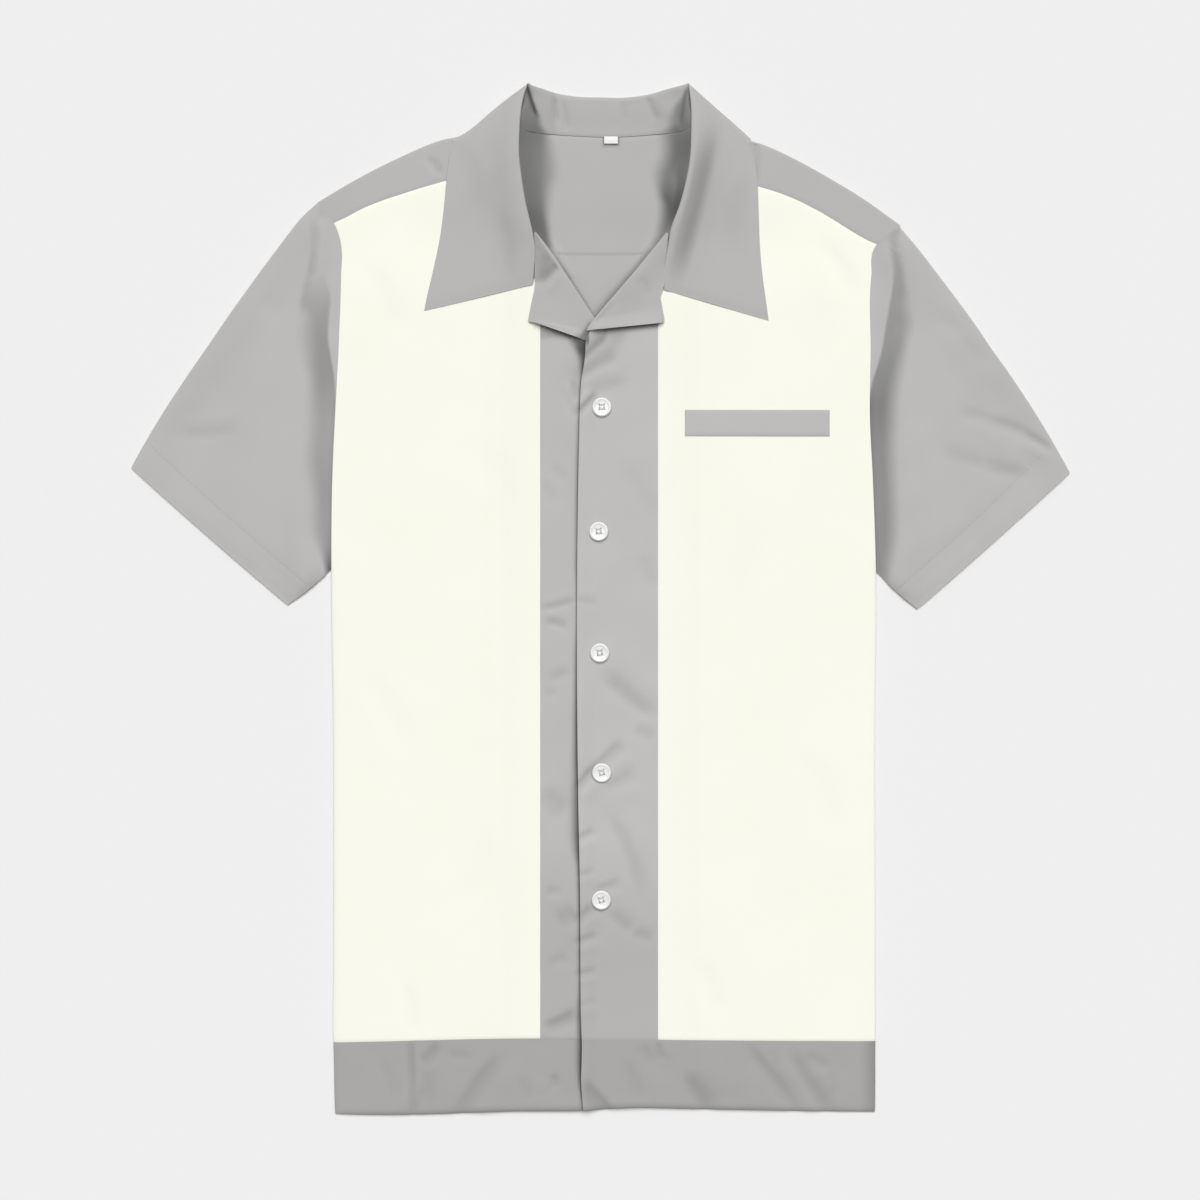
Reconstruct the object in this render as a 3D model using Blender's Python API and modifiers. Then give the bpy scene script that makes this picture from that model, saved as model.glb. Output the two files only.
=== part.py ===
"""Camp collar shirt with short sleeves, buttoned and laid flat on its back.

The shirt lies on the plane z = 0 with its collar toward +Y and the wearer's left side at +X.
Sizes are worked in millimetres and become metres where the meshes are made. Each piece of cloth
is a row of sections lofted into a sheet and given its wall, and layers that lie on each other
are one wall and one gap apart.
"""

import math
from collections import namedtuple

import bmesh
import bpy
import numpy as np
from mathutils import Vector

MM = 0.001
WALL = 1.0  # cloth
GAP = 0.3  # between pieces, at seams and between layers
LAYER = WALL + GAP
LOFT = 1.5  # how far the fronts stand off the back in the middle of the shirt
SLEEVE_LOFT = 2.2
ROLL_RADIUS = 1.2  # half the least height of a turned edge
FOLD_STEPS = 4
BACK_SEAM_Y = 268.3  # back yoke seam
UNDERLAP_X = 18.0  # edge of the front that lies beneath the lap
CENTRE_SEAM_RIGHT = -47.0
CENTRE_SEAM_LEFT = 44.8
BUTTON_RADIUS = 7.5
BUTTON_HEIGHT = 2.6
HOLE_RADIUS = 0.9
HOLE_SPACING = 1.5  # from the button's middle to a hole, along each axis
LABEL = dict(x=8.2, width=10.5, low=355.2, high=360.7)

GREY = (0.462, 0.456, 0.450)
IVORY = (0.948, 0.948, 0.850)
BUTTON_WHITE = (0.855, 0.855, 0.840)
LABEL_WHITE = (0.900, 0.900, 0.900)


def table(columns, *rows):
    """The rows of a table as records with named columns, in millimetres."""
    Row = namedtuple("Row", columns)
    return [Row(*row) for row in rows]


def read(rows, key, value, column):
    """The column's value where the key column has this value, straight between rows."""
    keys = [getattr(row, key) for row in rows]
    return float(np.interp(value, keys, [getattr(row, column) for row in rows]))


# Side seams, then the front armhole seams above the underarm, up to the shoulder points.
SIDES = table(
    "y right left",
    (-402, -206.3, 213.4),
    (-344, -206.8, 213.8),
    (-100, -207.8, 214.0),
    (22, -210.0, 214.8),
    (95, -209.2, 212.4),
    (141, -207.2, 210.2),
    (193, -204.6, 210.9),
    (252, -202.7, 211.7),
    (276, -202.8, 215.7),
    (291, -207.2, 232.8),
    (308, -219.6, 250.0),
)

# Lower edge of the hem bands and the seam that joins them to the panels.
HEM = table(
    "x bottom seam",
    (-207, -401.2, -346.0),
    (-47, -399.6, -342.5),
    (43, -398.8, -343.6),
    (214, -399.4, -345.0),
)

# Sections of the yoke from armhole to armhole: the back seam, the shoulder fold, the front seam.
# The middle five end at the neck seam and have no front.
YOKE = table(
    "back_x top_x top_y front_x front_y",
    (-202.8, -219.6, 307.6, -208.0, 292.7),
    (-179.0, -192.3, 326.8, -183.4, 305.8),
    (-150.0, -162.6, 342.4, -152.8, 316.7),
    (-117.0, -126.0, 357.0, -119.2, 326.5),
    (-90.0, -98.0, 361.5, -97.0, 331.5),
    (-62.0, -70.0, 370.5, -75.5, 337.5),
    (-44.0, -45.7, 364.3, None, None),
    (-22.0, -24.0, 362.0, None, None),
    (1.0, 1.3, 360.8, None, None),
    (24.0, 24.5, 361.3, None, None),
    (48.0, 51.9, 364.4, None, None),
    (68.0, 77.0, 369.5, 82.0, 333.5),
    (94.0, 100.0, 360.5, 100.0, 328.5),
    (118.0, 125.0, 355.2, 122.5, 321.9),
    (148.0, 154.1, 342.4, 144.9, 314.7),
    (174.0, 182.1, 326.8, 170.8, 302.5),
    (195.0, 206.3, 311.2, 196.7, 286.9),
    (214.4, 232.8, 290.9, 215.6, 275.8),
)
NECK_RIGHT = 5  # rows of YOKE at the two ends of the neck
NECK_LEFT = 11

# Neck edges of the side fronts, from the yoke seam down to the centre panel's seam.
NECK_EDGE = table(
    "right_x right_y left_x left_y",
    (-73.0, 322.0, 78.5, 319.0),
    (-68.0, 306.0, 72.0, 302.0),
    (-60.5, 289.0, 62.5, 287.0),
    (-53.0, 273.0, 53.0, 272.0),
    (-47.0, 262.0, 44.8, 262.0),
)

# Turned edge of the lapels and the collar, up from the top of the lap to the side of the neck,
# and how far the cloth there rises off what it lies on.
ROLL = table(
    "y right left rise",
    (207, 3.0, -11.5, 0.3),
    (218, -4.3, -4.3, 0.5),
    (267, -36.4, 37.0, 1.2),
    (287, -52.3, 53.1, 1.8),
    (308, -57.7, 61.3, 3.2),
    (328, -61.1, 66.9, 4.2),
    (345, -63.3, 69.8, 4.6),
    (372, -62.7, 70.6, 3.0),
    (400, -56.9, 68.0, 1.0),
)

# Sections of the collar from the gorge round to the middle of the back. A face of 1 lies on the
# front, -1 lies beneath the yoke, and 0 is the fold between them at the side of the neck.
COLLAR_RIGHT = table(
    "face neck_x neck_y roll_x roll_y edge_x edge_y",
    (1, None, None, -52.9, 245.0, -137.5, 224.4),
    (1, None, None, -51.9, 257.0, -135.0, 236.5),
    (1, None, None, -51.0, 273.0, -131.6, 251.0),
    (1, -58.5, 288.0, -52.3, 287.2, -128.6, 264.5),
    (1, -66.5, 307.0, -57.7, 308.5, -124.8, 284.0),
    (1, -71.6, 322.5, -61.1, 328.2, -122.0, 305.0),
    (1, -73.9, 337.5, -63.3, 345.0, -120.2, 324.0),
    (1, -71.3, 352.0, -63.3, 361.0, -118.4, 340.0),
    (1, -69.0, 364.0, -61.8, 381.0, -117.0, 352.0),
    (1, -67.6, 369.5, -58.4, 397.2, -115.8, 358.6),
    (0, -68.2, 371.2, -56.9, 400.5, -116.8, 361.0),
    (-1, -66.4, 370.8, -54.4, 399.3, -114.0, 358.8),
    (-1, -57.0, 367.7, -46.5, 397.0, -104.0, 342.0),
    (-1, -45.7, 364.7, -37.1, 394.2, -84.0, 329.0),
    (-1, -24.0, 362.4, -21.0, 391.2, -45.0, 321.5),
)
COLLAR_MIDDLE = table(
    "face neck_x neck_y roll_x roll_y edge_x edge_y", (-1, 1.3, 361.2, 0.0, 390.5, 0.0, 319.5)
)
COLLAR_LEFT = table(
    "face neck_x neck_y roll_x roll_y edge_x edge_y",
    (1, None, None, 49.4, 241.0, 131.0, 217.0),
    (1, None, None, 49.4, 258.0, 128.8, 233.0),
    (1, None, None, 52.2, 273.0, 126.6, 249.0),
    (1, 60.5, 286.0, 53.1, 286.7, 125.2, 262.0),
    (1, 70.3, 303.5, 60.5, 306.0, 123.9, 281.0),
    (1, 77.0, 319.5, 66.6, 326.5, 123.2, 303.0),
    (1, 80.4, 333.8, 69.8, 343.0, 122.5, 322.0),
    (1, 78.5, 350.0, 70.6, 361.0, 120.8, 338.0),
    (1, 76.2, 362.5, 70.7, 381.0, 119.0, 350.0),
    (1, 74.8, 368.8, 69.4, 397.2, 117.6, 356.0),
    (0, 75.3, 370.5, 68.0, 400.5, 118.4, 358.6),
    (-1, 73.4, 370.0, 65.4, 399.5, 115.6, 356.4),
    (-1, 63.5, 367.4, 53.0, 397.0, 105.0, 341.0),
    (-1, 51.9, 364.8, 39.4, 393.4, 84.0, 328.6),
    (-1, 24.5, 361.7, 22.0, 391.0, 45.0, 321.5),
)

# Sections of the lapels, down from the gorge: the turned edge, then the outer edge. The last
# section is the lapel's lower edge.
LAPEL_RIGHT = table(
    "roll_x roll_y edge_x edge_y",
    (-50.6, 285.0, -51.8, 284.2),
    (-44.5, 277.5, -50.6, 273.0),
    (-36.4, 267.0, -51.0, 262.0),
    (-26.2, 251.5, -51.4, 251.6),
    (-15.5, 235.0, -51.0, 243.7),
    (-4.3, 218.0, -54.0, 229.0),
    (3.0, 207.0, -56.2, 216.8),
    (2.0, 196.6, -54.5, 216.2),
)
LAPEL_LEFT = table(
    "roll_x roll_y edge_x edge_y",
    (51.2, 284.4, 52.6, 283.6),
    (45.0, 276.6, 51.6, 273.0),
    (37.0, 267.0, 49.8, 262.0),
    (25.5, 253.0, 48.4, 252.0),
    (11.5, 236.5, 47.0, 240.1),
    (-4.3, 217.8, 48.2, 227.0),
    (-9.6, 210.8, 49.0, 215.2),
    (-10.6, 208.4, 47.2, 214.8),
)

# Edge of the lap, the front that lies uppermost.
PLACKET = table(
    "y x",
    (-402, -14.8),
    (-335, -16.0),
    (-228, -16.0),
    (-154, -17.4),
    (-1, -18.3),
    (77, -17.6),
    (186, -13.7),
    (209, -10.5),
)

# Upper fold of each sleeve from the shoulder point to the cuff, then the cuff's lower corner.
SLEEVE_RIGHT = table(
    "part x y",
    (0.0, -219.6, 307.6),
    (0.12, -237.0, 294.5),
    (0.4, -282.0, 233.2),
    (0.7, -325.7, 170.8),
    (1.0, -366.4, 103.0),
)
SLEEVE_LEFT = table(
    "part x y",
    (0.0, 232.8, 290.9),
    (0.12, 249.0, 271.5),
    (0.4, 286.5, 222.5),
    (0.7, 325.0, 167.5),
    (1.0, 366.4, 99.4),
)
CUFF_RIGHT = Vector((-243.0, -5.5))
CUFF_LEFT = Vector((247.0, -9.1))
UNDERARM_RIGHT = 23.5
UNDERARM_LEFT = 20.5

BUTTONS = table(
    "x y", (1.0, 149.4), (-1.4, 52.6), (-0.6, -42.0), (0.9, -135.3), (0.6, -234.4)
)

WELT = table(
    "low_x low_y high_x high_y",
    (65.8, 126.9, 65.8, 147.5),
    (121.5, 127.3, 122.5, 148.0),
    (177.6, 127.1, 179.6, 146.9),
)


def smooth_step(share):
    share = min(max(share, 0.0), 1.0)
    return share * share * (3 - 2 * share)


def back_height(x, y):
    """Middle of the back's wall: flat on the table, and one layer up where the collar lies under it."""
    over_collar = smooth_step((y - 272) / 44) * smooth_step((165 - abs(x)) / 42)
    return WALL / 2 + LAYER * over_collar


def front_height(x, y):
    """Middle of the fronts' wall, which lie on the back and stand off it a little in the middle."""
    side = read(SIDES, "y", y, "right" if x < 0 else "left")
    crown = 1 - min(abs(x / side), 1.0) ** 4
    from_hem = 0.3 + 0.7 * smooth_step((y + 400) / 90)
    to_shoulder = 1 - 0.7 * smooth_step((y - 230) / 70)
    return back_height(x, y) + LAYER + LOFT * (0.25 + 0.75 * crown * from_hem * to_shoulder)


def lap_height(x, y):
    """Middle of the uppermost front's wall, over the underlap and, at its top, over the lapel."""
    over_underlap = smooth_step((42 - x) / 18)
    over_lapel = smooth_step((y - 160) / 26) * smooth_step((28 - x) / 18)
    return front_height(x, y) + LAYER * over_underlap + (LAYER + 1.1) * over_lapel


def turned_height(x, y, side):
    """Middle of the collar's or a lapel's wall, turned back over the front on that side."""
    under = front_height(x, y) if side == "right" else lap_height(x, y)
    from_roll = abs(x - read(ROLL, "y", y, side)) / 24
    return under + LAYER + 0.6 + read(ROLL, "y", y, "rise") * math.exp(-from_roll * from_roll)


def side_rows(low, high, count):
    """Heights up the shirt from low to high, among them every row of SIDES between the two."""
    rows = [low] + [row.y for row in SIDES if low + 1 < row.y < high - 1] + [high]
    while len(rows) <= count:
        steps = [after - before for before, after in zip(rows, rows[1:])]
        widest = steps.index(max(steps))
        rows.insert(widest + 1, (rows[widest] + rows[widest + 1]) / 2)
    return rows


def lay(point, height):
    return Vector((point[0], point[1], height(point[0], point[1])))


def half_circle(low, high, outward):
    """The points of a fold between two layers, from one height to the other, round the outside."""
    middle = (low + high) / 2
    radius = (high - low) / 2
    points = []
    for step in range(1, FOLD_STEPS):
        turn = math.pi * step / FOLD_STEPS
        bulge = outward * (radius.length * math.sin(turn))
        points.append(middle - radius * math.cos(turn) + bulge)
    return points


def turned_edge(start, roll, end):
    """A soft turn from one layer to the other whose outermost point is over the roll line."""
    reach = max((end.z - start.z) / 2, ROLL_RADIUS)
    back = (Vector((start.x, start.y)) - roll).normalized()
    out = (Vector((end.x, end.y)) - roll).normalized()
    first = Vector((*(roll + back * reach), start.z))
    last = Vector((*(roll + out * reach), end.z))
    pull = reach * 4 / 3
    first_handle = first - Vector((*back, 0)) * pull
    last_handle = last - Vector((*out, 0)) * pull
    points = []
    for step in range(FOLD_STEPS + 1):
        t = step / FOLD_STEPS
        points.append(
            first * (1 - t) ** 3
            + first_handle * 3 * t * (1 - t) ** 2
            + last_handle * 3 * t * t * (1 - t)
            + last * t**3
        )
    return points


def clear_scene():
    for thing in list(bpy.data.objects):
        bpy.data.objects.remove(thing)


def make_material(name, colour, roughness):
    material = bpy.data.materials.new(name)
    material.use_nodes = True
    shader = material.node_tree.nodes["Principled BSDF"]
    shader.inputs["Base Color"].default_value = (*colour, 1)
    shader.inputs["Roughness"].default_value = roughness
    shader.inputs["Metallic"].default_value = 0
    material.diffuse_color = (*colour, 1)
    return material


def make_collection(name):
    collection = bpy.data.collections.new(name)
    bpy.context.scene.collection.children.link(collection)
    return collection


def add_object(name, mesh, material, collection):
    thing = bpy.data.objects.new(name, mesh)
    mesh.materials.append(material)
    collection.objects.link(thing)
    return thing


def add_cloth(name, sections, material, collection):
    """A sheet lofted through its sections, with a wall. It has no faces where a point is None."""
    across = len(sections) - 1
    along = len(sections[0]) - 1
    sheet = bmesh.new()
    bmesh.ops.create_grid(sheet, x_segments=across, y_segments=along, size=0.5)
    bare = []
    for vertex in sheet.verts:
        i = round((vertex.co.x + 0.5) * across)
        j = round((vertex.co.y + 0.5) * along)
        if sections[i][j] is None:
            bare.append(vertex)
        else:
            vertex.co = sections[i][j] * MM
    bmesh.ops.delete(sheet, geom=bare, context="VERTS")
    bmesh.ops.remove_doubles(sheet, verts=sheet.verts, dist=0.00001)
    mesh = bpy.data.meshes.new(name)
    sheet.to_mesh(mesh)
    sheet.free()
    cloth = add_object(name, mesh, material, collection)
    wall = cloth.modifiers.new("Wall", "SOLIDIFY")
    wall.thickness = WALL * MM
    wall.offset = 0
    wall.use_even_offset = True
    wall.use_quality_normals = True
    return cloth


def panel_sections(edges, rows, height):
    """Straight sections, each from its low end to its high end, laid at the height of their layer."""
    sections = []
    for low, high in edges:
        points = [Vector(low).lerp(Vector(high), row / rows) for row in range(rows + 1)]
        sections.append([lay(point, height) for point in points])
    return sections


def strip_sections(left_edge, right_edge, bottom, top, columns, rows, height):
    """Sections across a panel whose two sides are functions of y, between two functions of x."""
    sections = []
    for column in range(columns + 1):
        share = column / columns
        section = []
        low = high = 0.0
        for _ in range(3):
            low = bottom(left_edge(low) + (right_edge(low) - left_edge(low)) * share)
            high = top(left_edge(high) + (right_edge(high) - left_edge(high)) * share)
        for y in side_rows(low, high, rows):
            x = left_edge(y) + (right_edge(y) - left_edge(y)) * share
            section.append(lay((x, y), height))
        sections.append(section)
    return sections


def right_side(y):
    return read(SIDES, "y", y, "right")


def left_side(y):
    return read(SIDES, "y", y, "left")


def hem_bottom(x):
    return read(HEM, "x", x, "bottom")


def hem_seam(x):
    return read(HEM, "x", x, "seam")


def lap_edge(y):
    return read(PLACKET, "y", y, "x")


def build_back(grey, collection):
    back = strip_sections(
        lambda y: right_side(y) + GAP / 2,
        lambda y: left_side(y) - GAP / 2,
        lambda x: hem_seam(x) + GAP / 2,
        lambda x: BACK_SEAM_Y - GAP / 2,
        8,
        10,
        back_height,
    )
    add_cloth("back", back, grey, collection)
    band = strip_sections(
        right_side,
        left_side,
        hem_bottom,
        lambda x: hem_seam(x) - GAP / 2,
        8,
        2,
        back_height,
    )
    add_cloth("hem_band_back", band, grey, collection)


def yoke_section(row, end_side):
    """Up the back from its seam, over the shoulder and down to the front seam."""
    top = Vector((row.top_x, row.top_y))
    seam = Vector((row.back_x, BACK_SEAM_Y + GAP / 2))
    has_front = row.front_x is not None
    front = Vector((row.front_x, row.front_y + GAP / 2)) if has_front else None
    across = (top - front).normalized() if has_front else None
    radius = 0.0
    if has_front:
        radius = (front_height(*top) - back_height(*top)) / 2
    crest = top - across * radius if has_front else top
    section = []
    for y in side_rows(seam.y, crest.y, 4):
        point = seam.lerp(crest, (y - seam.y) / (crest.y - seam.y))
        if end_side:
            point.x = end_side(y)
        section.append(lay(point, back_height))
    if not has_front:
        return section + [None] * (FOLD_STEPS + 3)
    low = section[-1]
    high = Vector((low.x, low.y, front_height(*top)))
    section += half_circle(low, high, Vector((*across, 0)))
    for step in range(4):
        point = Vector((low.x, low.y)).lerp(front, step / 3)
        section.append(lay(point, front_height))
    section[5 + FOLD_STEPS - 1] = high
    return section


def build_yoke(grey, collection):
    sections = []
    for number, row in enumerate(YOKE):
        end_side = None
        if number == 0:
            end_side = lambda y: right_side(y) + GAP / 2
        elif number == len(YOKE) - 1:
            end_side = lambda y: left_side(y) - GAP / 2
        sections.append(yoke_section(row, end_side))
    add_cloth("yoke", sections, grey, collection)


def side_front_sections(side_x, centre_x, tops):
    """Sections of a side front, from the side to the centre panel, each up to a point of its top."""
    sections = []
    for top in tops:
        share = (top.x - side_x(top.y)) / (centre_x - side_x(top.y))
        low_x = side_x(-344) + (centre_x - side_x(-344)) * share
        low = hem_seam(low_x) + GAP / 2
        section = []
        for y in side_rows(low, top.y, 14)[:15]:
            x = side_x(y) + (centre_x - side_x(y)) * share
            section.append(lay((x, y), front_height))
        sections.append(section)
    return sections


def build_side_fronts(ivory, collection):
    right_tops = [Vector((row.front_x, row.front_y - GAP / 2)) for row in YOKE[: NECK_RIGHT + 1]]
    right_tops += [Vector((row.right_x, row.right_y)) for row in NECK_EDGE]
    right_tops[0].x = right_side(right_tops[0].y) + GAP / 2
    right_tops[-1].x = CENTRE_SEAM_RIGHT - GAP / 2
    right = side_front_sections(
        lambda y: right_side(y) + GAP / 2, CENTRE_SEAM_RIGHT - GAP / 2, right_tops
    )
    add_cloth("side_front_right", right, ivory, collection)

    left_tops = [Vector((row.left_x, row.left_y)) for row in reversed(NECK_EDGE)]
    left_tops += [Vector((row.front_x, row.front_y - GAP / 2)) for row in YOKE[NECK_LEFT:]]
    left_tops[0].x = CENTRE_SEAM_LEFT + GAP / 2
    left_tops[-1].x = left_side(left_tops[-1].y) - GAP / 2
    left = side_front_sections(
        lambda y: left_side(y) - GAP / 2, CENTRE_SEAM_LEFT + GAP / 2, left_tops
    )
    add_cloth("side_front_left", left, ivory, collection)


def build_centre_fronts(grey, collection):
    under_tops = [(x, read(ROLL[::-1], "right", x, "y") - 5) for x in (-46.8, -36, -24, -15, -8)]
    under_tops += [(-3, 204), (1, 190), (9, 184), (UNDERLAP_X, 174)]
    under = [((x, hem_seam(x) + GAP / 2), (x, y)) for x, y in under_tops]
    add_cloth(
        "centre_front_right", panel_sections(under, 14, front_height), grey, collection
    )
    over = []
    for x in (-11.5, -4.3, 8, 20, 32, CENTRE_SEAM_LEFT - GAP / 2):
        over.append((x, read(ROLL[:4], "left", x, "y") - 5))
    sections = []
    for number, (top_x, top_y) in enumerate(over):
        share = number / (len(over) - 1)
        section = []
        for step in range(19):
            y = hem_seam(0) + GAP / 2 + (top_y - hem_seam(0) - GAP / 2) * step / 18
            x = lap_edge(y) + (CENTRE_SEAM_LEFT - GAP / 2 - lap_edge(y)) * share
            near_top = smooth_step((y - 120) / 80)
            x += (top_x - x) * near_top
            section.append(lay((x, y), lap_height))
        sections.append(section)
    add_cloth("centre_front_left", sections, grey, collection)


def build_front_hem_bands(grey, collection):
    right = strip_sections(
        right_side,
        lambda y: UNDERLAP_X,
        hem_bottom,
        lambda x: hem_seam(x) - GAP / 2,
        8,
        2,
        front_height,
    )
    add_cloth("hem_band_right", right, grey, collection)
    left = strip_sections(
        lap_edge,
        left_side,
        hem_bottom,
        lambda x: hem_seam(x) - GAP / 2,
        9,
        2,
        lap_height,
    )
    add_cloth("hem_band_left", left, grey, collection)


def sleeve_ring(part, fold, cuff_corner, side_x, underarm, outward):
    """One section round a flattened sleeve: up its front, over the fold and down its back."""
    shoulder_y = fold[0].y
    upper = Vector((read(fold, "part", part, "x"), read(fold, "part", part, "y")))
    tip = Vector((fold[-1].x, fold[-1].y))
    shoulder = Vector((side_x(shoulder_y), shoulder_y))
    arch = upper - shoulder.lerp(tip, part)
    loft = 0.4 + SLEEVE_LOFT * smooth_step(part * 5) * (1 - 0.7 * smooth_step((part - 0.3) / 0.7))

    def place(share):
        y = underarm + (shoulder_y - underarm) * share
        armhole = Vector((side_x(y) + outward * GAP / 2, y))
        return armhole.lerp(cuff_corner.lerp(tip, share), part) + arch * share**3

    length = (place(1.0) - place(0.0)).length

    def height(share):
        near_fold = min(share, 1 - share) * 6
        return WALL / 2 + LAYER + loft * (0.15 + 0.85 * smooth_step(near_fold))

    inset = (height(0) - WALL / 2) / 2 / length
    rows = side_rows(underarm, shoulder_y, 8)
    shares = [(y - underarm) / (shoulder_y - underarm) for y in rows]
    shares[0] = inset
    shares[-1] = 1 - inset
    front = [Vector((*place(share), height(share))) for share in shares]
    back = [Vector((point.x, point.y, WALL / 2)) for point in reversed(front)]
    upward = Vector((*(place(1.0) - place(0.9)).normalized(), 0))
    downward = Vector((*(place(0.0) - place(0.1)).normalized(), 0))
    ring = front + half_circle(front[-1], back[0], upward) + back
    ring += half_circle(back[-1], front[0], downward)
    return ring + [ring[0].copy()]


def build_sleeves(grey, collection):
    parts = (0, 0.08, 0.18, 0.35, 0.6, 0.85, 1.0)
    rings = [
        sleeve_ring(part, SLEEVE_RIGHT, CUFF_RIGHT, right_side, UNDERARM_RIGHT, -1) for part in parts
    ]
    add_cloth("sleeve_right", rings, grey, collection)
    rings = [
        sleeve_ring(part, SLEEVE_LEFT, CUFF_LEFT, left_side, UNDERARM_LEFT, 1) for part in parts
    ]
    add_cloth("sleeve_left", rings, grey, collection)


def collar_section(row, side):
    """Up the stand from the neck seam, over the roll and down to the collar's outer edge."""
    roll = Vector((row.roll_x, row.roll_y))
    edge = Vector((row.edge_x, row.edge_y))
    at_side_of_neck = back_height(0, row.roll_y) + LAYER / 2
    hidden_height = {0: at_side_of_neck, -1: WALL / 2}

    def fall_point(share):
        point = roll.lerp(edge, share)
        if row.face == 1:
            return Vector((*point, turned_height(point.x, point.y, side)))
        return Vector((*point, hidden_height[row.face]))

    inset = 2.2 / (edge - roll).length
    fall = [fall_point(inset + (1 - inset) * step / 6) for step in range(7)]
    if row.neck_x is None:
        return [None] * (FOLD_STEPS + 2) + [fall_point(0.0)] + fall[1:]
    neck_heights = {
        1: front_height(row.neck_x, row.neck_y),
        0: at_side_of_neck,
        -1: back_height(0, row.neck_y),
    }
    neck = Vector((row.neck_x, row.neck_y, neck_heights[row.face]))
    stand_top = neck.z
    if row.face == 1:
        stand_top = max(fall[0].z - 2 * ROLL_RADIUS, neck.z)
    start = Vector((neck.x, neck.y, stand_top))
    turn = turned_edge(start, roll, fall[0])
    middle = neck.lerp(turn[0], 0.5)
    return [neck, middle] + turn + fall[1:]


def build_collar(grey, collection):
    rows = [(row, "right") for row in COLLAR_RIGHT]
    rows += [(row, "right") for row in COLLAR_MIDDLE]
    rows += [(row, "left") for row in reversed(COLLAR_LEFT)]
    sections = [collar_section(row, side) for row, side in rows]
    add_cloth("collar", sections, grey, collection)


def lapel_section(row, side, panel_height):
    """From beneath the turned edge, round it and out to the lapel's outer edge."""
    roll = Vector((row.roll_x, row.roll_y))
    edge = Vector((row.edge_x, row.edge_y))

    def out_point(share):
        point = roll.lerp(edge, share)
        return Vector((*point, turned_height(point.x, point.y, side)))

    reach = (edge - roll).length
    inset = min(ROLL_RADIUS * 1.2 / reach, 0.5)
    fall = [out_point(inset + (1 - inset) * step / 4) for step in range(5)]
    start = Vector((*edge, panel_height(*roll)))
    return turned_edge(start, roll, fall[0]) + fall[1:]


def build_lapels(grey, collection):
    right = [lapel_section(row, "right", front_height) for row in LAPEL_RIGHT]
    add_cloth("lapel_right", right, grey, collection)
    left = [lapel_section(row, "left", lap_height) for row in LAPEL_LEFT]
    add_cloth("lapel_left", left, grey, collection)


def build_welt(grey, collection):
    edges = [((row.low_x, row.low_y), (row.high_x, row.high_y)) for row in WELT]
    above = lambda x, y: front_height(x, y) + LAYER
    add_cloth("pocket_welt", panel_sections(edges, 2, above), grey, collection)


def build_label(white, collection):
    edges = []
    for x in (LABEL["x"] - LABEL["width"] / 2, LABEL["x"] + LABEL["width"] / 2):
        edges.append(((x, LABEL["low"]), (x, LABEL["high"])))
    above = lambda x, y: back_height(x, y) + LAYER
    add_cloth("neck_label", panel_sections(edges, 1, above), white, collection)


def build_buttons(white, collection, cutters):
    """Turned discs with a raised rim and four holes, on the lap over the middle of the shirt."""
    profile = (
        (BUTTON_RADIUS * 0.72, BUTTON_HEIGHT * 0.72),
        (BUTTON_RADIUS * 0.82, BUTTON_HEIGHT),
        (BUTTON_RADIUS * 0.95, BUTTON_HEIGHT * 0.9),
        (BUTTON_RADIUS, BUTTON_HEIGHT * 0.55),
        (BUTTON_RADIUS * 0.86, 0.0),
    )
    for number, row in enumerate(BUTTONS, 1):
        name = f"button_{number}"
        disc = bmesh.new()
        points = [disc.verts.new((0, 0, BUTTON_HEIGHT * 0.72 * MM))]
        points += [disc.verts.new((radius * MM, 0, z * MM)) for radius, z in profile]
        points.append(disc.verts.new((0, 0, 0)))
        for first, second in zip(points, points[1:]):
            disc.edges.new((first, second))
        mesh = bpy.data.meshes.new(name)
        disc.to_mesh(mesh)
        disc.free()
        button = add_object(name, mesh, white, collection)
        button.location = (row.x * MM, row.y * MM, button_height(row) * MM)
        turn = button.modifiers.new("Turn", "SCREW")
        turn.steps = 18
        turn.render_steps = 18
        turn.use_merge_vertices = True
        turn.merge_threshold = 0.00001
        for hole in range(4):
            cut_hole(button, f"{name}_hole_{hole + 1}", hole, cutters)


def button_height(row):
    """Underside of a button, clear of the highest cloth beneath it."""
    reach = (-BUTTON_RADIUS, 0, BUTTON_RADIUS)
    highest = max(lap_height(row.x + dx, row.y + dy) for dx in reach for dy in reach)
    return highest + WALL / 2 + GAP


def cut_hole(button, name, number, cutters):
    """A round hole through the button, in the number's quarter."""
    drill = bmesh.new()
    bmesh.ops.create_cone(
        drill,
        segments=8,
        radius1=HOLE_RADIUS * MM,
        radius2=HOLE_RADIUS * MM,
        depth=BUTTON_HEIGHT * 3 * MM,
        cap_ends=True,
    )
    mesh = bpy.data.meshes.new(name)
    drill.to_mesh(mesh)
    drill.free()
    cutter = bpy.data.objects.new(name, mesh)
    cutters.objects.link(cutter)
    angle = math.pi / 4 + number * math.pi / 2
    reach = HOLE_SPACING * math.sqrt(2) * MM
    cutter.location = button.location + Vector((math.cos(angle) * reach, math.sin(angle) * reach, 0))
    cutter.hide_render = True
    cutter.display_type = "WIRE"
    cut = button.modifiers.new("Hole", "BOOLEAN")
    cut.operation = "DIFFERENCE"
    cut.solver = "EXACT"
    cut.object = cutter


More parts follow.
